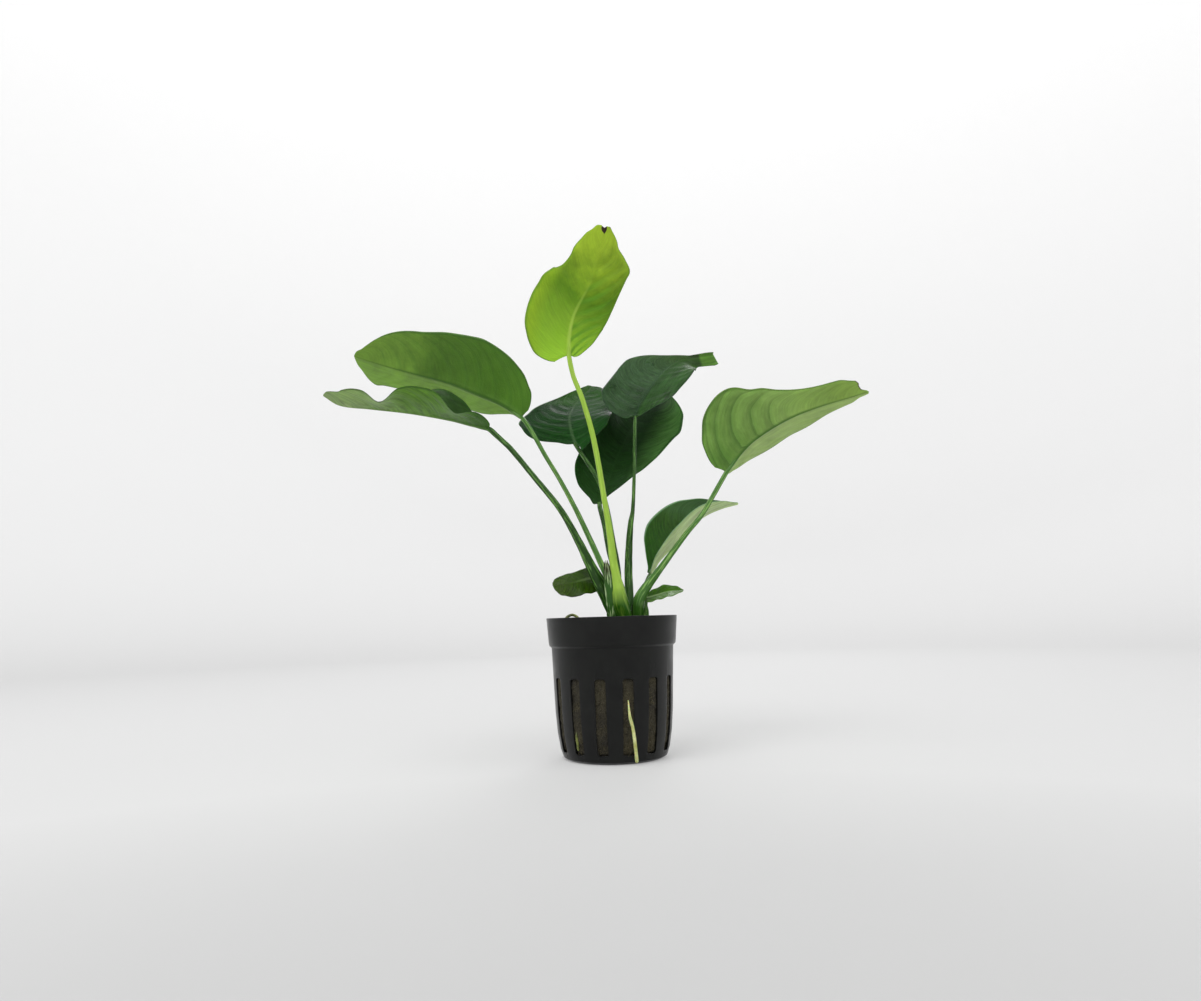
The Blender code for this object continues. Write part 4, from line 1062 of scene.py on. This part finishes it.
# Colours beside the leaves' greens: key, name, description and sRGB
COLOURS = (
    ("dead_tip", "Dead tip", "Dry torn edge at a leaf's tip", "#2a1a0e"),
    ("stem_young_low", "Young stem foot", "Young leaf's stem by the rhizome", "#2c5c12"),
    ("stem_young_high", "Young stem top", "Young leaf's stem by its blade", "#95b944"),
    ("stem_young_light", "Young stem lines", "Light lines along the young stem", "#a9cc52"),
    ("stem_low", "Stem foot", "Stems by the rhizome", "#2f5a1a"),
    ("stem_high", "Stem top", "Stems by their blades", "#457030"),
    ("stem_light", "Stem lines", "Light lines along the stems", "#88b05e"),
    ("stem_dark_low", "Dark stem foot", "Darker stems by the rhizome", "#2a5518"),
    ("stem_dark_high", "Dark stem top", "Darker stems by their blades", "#28491a"),
    ("stem_dark_light", "Dark stem lines", "Light lines along darker stems", "#6a9848"),
    ("rhizome_dark", "Rhizome dark", "Scars and hollows of the rhizome", "#2b3316"),
    ("rhizome_light", "Rhizome light", "Bark of the rhizome", "#5d7434"),
    ("wool_dark", "Wool dark", "Wet hollows of the wool", "#15120d"),
    ("wool_light", "Wool light", "Olive tan fibres of the wool", "#3e3924"),
    ("wool_thread", "Wool thread", "Loose fibres that stand off the wool", "#5a5337"),
    ("sheath_green", "Sheath green", "Foot of the bud sheath", "#2f5a1c"),
    ("sheath_light", "Sheath light", "Light lines and painted glints along the bud sheath", "#b5cf96"),
    ("sheath_dry", "Sheath dry", "Dried tip of the bud sheath", "#2a2110"),
    ("root_pale", "Root pale", "Core and tips of the roots", "#d9dfa2"),
    ("root_shade", "Root shade", "Dark olive of the root over the rim and painted shade of the root in a slot", "#4c5424"),
    ("root_green", "Root green", "Older skin of the roots", "#97a045"),
    ("pot", "Pot", "Black plastic of the pot", "#050605"),
    ("pot_haze", "Pot haze", "Faint haze on the pot's plastic", "#0d0f0c"),
    ("floor", "Backdrop", "Seamless backdrop", "#b4b4b4"),
)


class AnubiasColours(bpy.types.PropertyGroup):
    """Colours that a user may change."""
    __annotations__ = {
        f"{leaf}_{part}": colour_property(f"{leaf} {part}".replace("_", " ").capitalize(),
                                          f"Colour of leaf {leaf.replace('_', ' ')} {where}", code)
        for leaf, tones in GREENS.items()
        for (part, where), code in zip(PARTS.items(), tones.split())}
    __annotations__.update((key, colour_property(*row)) for key, *row in COLOURS)


class AnubiasPotOperator(bpy.types.Operator):
    """Add the slotted pot"""
    bl_idname = "anubias.add_pot"
    bl_label = "Pot"

    def execute(self, context):
        scene = context.scene
        settle(add_pot(scene.anubias_sizes), pot_material(scene.anubias_colours), "pot_plastic", "pot")
        return {"FINISHED"}


class AnubiasWoolOperator(bpy.types.Operator):
    """Add the wool plug and its loose fibres"""
    bl_idname = "anubias.add_wool"
    bl_label = "Mineral wool"

    def execute(self, context):
        scene = context.scene
        tones = scene.anubias_colours
        # Mineral wool, wet and partly overgrown: dull, matted, in clouds of brown and olive
        look = cloudy_material("matted mineral wool", ((0.32, tones.wool_dark), (0.68, tones.wool_light)),
                               70, 0.9, 1100, 0.0014)
        settle(add_wool(), look, "mineral_wool", "mineral_wool")
        threads = cloudy_material("mineral wool fibre", ((0.3, tones.wool_dark), (0.7, tones.wool_thread)),
                                  260, 0.6, 4000, 0.00005)
        settle(add_fibres(scene.anubias_sizes), threads, "mineral_wool")
        return {"FINISHED"}


class AnubiasRhizomeOperator(bpy.types.Operator):
    """Add the rhizome"""
    bl_idname = "anubias.add_rhizome"
    bl_label = "Rhizome"

    def execute(self, context):
        tones = context.scene.anubias_colours
        # Living bark: firm, damp, mottled green and brown
        look = cloudy_material("rhizome bark", ((0.3, tones.rhizome_dark), (0.7, tones.rhizome_light)),
                               260, 0.5, 1100, 0.0004)
        settle(add_rhizome(), look, "rhizome", "rhizome")
        return {"FINISHED"}


class AnubiasBladesOperator(bpy.types.Operator):
    """Add the blades of all the leaves"""
    bl_idname = "anubias.add_blades"
    bl_label = "Leaf blades"

    def execute(self, context):
        scene = context.scene
        for leaf in LEAVES:
            blade = add_blade(leaf, scene.anubias_sizes)
            settle(blade, leaf_material(leaf, scene.anubias_colours), leaf.slot, "leaf_" + leaf.name)
        return {"FINISHED"}


class AnubiasStemsOperator(bpy.types.Operator):
    """Add the stems of all the leaves"""
    bl_idname = "anubias.add_stems"
    bl_label = "Stems"

    def execute(self, context):
        scene = context.scene
        tones = scene.anubias_colours
        young = stem_material("wet young stem", tones.stem_young_low, tones.stem_young_high,
                              tones.stem_young_light)
        green = stem_material("wet leaf stem", tones.stem_low, tones.stem_high, tones.stem_light)
        dark = stem_material("wet dark leaf stem", tones.stem_dark_low, tones.stem_dark_high,
                             tones.stem_dark_light)
        looks = {"young": young, "left_upper": green, "right_upper": green, "small_right": green}
        for leaf in LEAVES:
            slot = "stem_young" if leaf.name == "young" else "stem_green"
            stem = add_stem(leaf, scene.anubias_sizes)
            settle(stem, looks.get(leaf.name, dark), slot, "stem_" + leaf.name)
        return {"FINISHED"}


class AnubiasSheathOperator(bpy.types.Operator):
    """Add the dry bud sheath"""
    bl_idname = "anubias.add_sheath"
    bl_label = "Dry sheath"

    def execute(self, context):
        tones = context.scene.anubias_colours
        # Old bud sheath: still green and wet at its foot, dried to dark brown at its frayed tip
        # Its light lines are partly painted glints of the wet film
        look = stem_material("drying bud sheath", tones.sheath_green, tones.sheath_green, tones.sheath_light,
                             tones.sheath_dry)
        settle(add_sheath(), look, "dry_sheath", "old_sheath")
        return {"FINISHED"}


class AnubiasRootsOperator(bpy.types.Operator):
    """Add the roots"""
    bl_idname = "anubias.add_roots"
    bl_label = "Roots"

    def execute(self, context):
        tones = context.scene.anubias_colours
        # Living root: smooth and firm, pale at its growing end and greener where light falls on it
        look = cloudy_material("live root skin", ((0.35, tones.root_green), (0.6, tones.root_pale)),
                               180, 0.35, 2500, 0.0001, Subsurface_Weight=0.3, Subsurface_Scale=0.001)
        # A darker copy for the root in a slot, where the darkening is painted shade, and for the olive root
        # over the rim
        shaded = cloudy_material("algae coated root skin",
                                 ((0.42, tones.root_shade), (0.7, tones.root_green)), 300, 0.4, 2500, 0.0001)
        for name, points in ROOTS.items():
            root = add_tube(name, points, ROOT_GRID, (0.3, -1.0, 0.1), lumps=0.03)
            settle(root, look if name == "root_front" else shaded, "root", name)
        return {"FINISHED"}


class AnubiasStageOperator(bpy.types.Operator):
    """Add the backdrop, the lights and the camera"""
    bl_idname = "anubias.add_stage"
    bl_label = "Stage"

    def execute(self, context):
        scene = context.scene
        # A dish: a level floor that curves up all round, so that no edge shows from any side
        profile = [(FLOOR_REACH * k / 8, 0) for k in range(9)]
        profile += [(FLOOR_REACH + BEND * math.sin(a), BEND * (1 - math.cos(a)))
                    for a in (math.radians(90 * k / 24) for k in range(1, 25))]
        profile.append((FLOOR_REACH + BEND, WALL_TOP))
        backdrop = turned_piece("backdrop", profile, len(profile) - 1, 96)
        # Matt white paper that glows by itself as painted light, brighter higher up, standing in for a light
        # tent
        look, shader, add = new_material("matt white paper", 0.9, Emission_Color=linear("#ffffff"),
                                         Base_Color=solid(scene.anubias_colours.floor))
        place = add("TexCoord").outputs["Object"]
        glow = add("FloatCurve", None, add("SeparateXYZ", place).outputs["Z"])
        curve = glow.mapping.curves[0]
        for spot, point in zip(TENT_GLOW, curve.points):
            point.location = spot
        for spot in TENT_GLOW[len(curve.points):]:
            curve.points.new(*spot)
        glow.mapping.update()
        # Painted shadow just in front of the plant: the glow is turned down there, so that the floor darkens
        away = add("VectorMath", place, PAINTED_SHADOW_PLACE, operation="DISTANCE")
        near = add("MapRange", away, *PAINTED_SHADOW_REACH, 0.3)
        feed(shader.inputs["Emission Strength"], add("Math", glow, near, operation="MULTIPLY"))
        # The glow is all round the plant and needs no aimed rays, which halves the time
        look.cycles.emission_sampling = "NONE"
        backdrop.data.materials.append(look)
        for name, place, target, size, power, tint in LIGHTS:
            light = bpy.data.lights.new(name, "AREA")
            light.shape = "DISK"
            light.size = size
            light.energy = power
            light.color = linear(tint)[:3]
            lamp = bpy.data.objects.new(name, light)
            lamp.location = place
            lamp.rotation_euler = (Vector(target) - Vector(place)).to_track_quat("-Z", "Y").to_euler()
            scene.collection.objects.link(lamp)
        world = bpy.data.worlds.new("studio")
        world.use_nodes = True
        sky = world.node_tree.nodes["Background"]
        sky.inputs["Color"].default_value = linear("#ffffff")
        sky.inputs["Strength"].default_value = WORLD_STRENGTH
        scene.world = world
        scene.view_settings.view_transform = "Standard"
        camera = bpy.data.cameras.new("camera")
        camera.sensor_width = SENSOR_WIDTH
        camera.lens = SENSOR_WIDTH * FOCAL_PIXELS / PHOTO_WIDTH
        camera.clip_start = 0.01
        eye = bpy.data.objects.new("camera", camera)
        pitch, roll = math.radians(CAMERA_PITCH), math.radians(CAMERA_ROLL)
        ahead = Vector((0.0, math.cos(pitch), math.sin(pitch)))
        right, up = Vector((1.0, 0.0, 0.0)), Vector((0.0, -math.sin(pitch), math.cos(pitch)))
        across = right * math.cos(roll) - up * math.sin(roll)
        above = right * math.sin(roll) + up * math.cos(roll)
        turn = Matrix((across, above, -ahead)).transposed().to_4x4()
        eye.matrix_world = Matrix.Translation(CAMERA_PLACE) @ turn
        scene.collection.objects.link(eye)
        scene.camera = eye
        return {"FINISHED"}


# The operators in the order in which they build the plant
STEPS = (AnubiasPotOperator, AnubiasWoolOperator, AnubiasRhizomeOperator, AnubiasBladesOperator,
         AnubiasStemsOperator, AnubiasSheathOperator, AnubiasRootsOperator, AnubiasStageOperator)


class AnubiasPanel(bpy.types.Panel):
    """Sizes, colours and the steps that build the plant"""
    bl_idname = "VIEW3D_PT_anubias"
    bl_label = "Anubias"
    bl_space_type = "VIEW_3D"
    bl_region_type = "UI"
    bl_category = "Anubias"

    def draw(self, context):
        scene = context.scene
        for group in (scene.anubias_sizes, scene.anubias_colours):
            box = self.layout.box()
            for key in group.__annotations__:
                box.prop(group, key)
        for step in STEPS:
            self.layout.operator(step.bl_idname)


CLASSES = (AnubiasSizes, AnubiasColours, *STEPS, AnubiasPanel)


def register():
    for item in CLASSES:
        bpy.utils.register_class(item)
    bpy.types.Scene.anubias_sizes = bpy.props.PointerProperty(type=AnubiasSizes)
    bpy.types.Scene.anubias_colours = bpy.props.PointerProperty(type=AnubiasColours)


def unregister():
    del bpy.types.Scene.anubias_colours
    del bpy.types.Scene.anubias_sizes
    for item in reversed(CLASSES):
        bpy.utils.unregister_class(item)


def main():
    register()
    for step in STEPS:
        group, name = step.bl_idname.split(".")
        getattr(getattr(bpy.ops, group), name)()


if __name__ == "__main__":
    main()
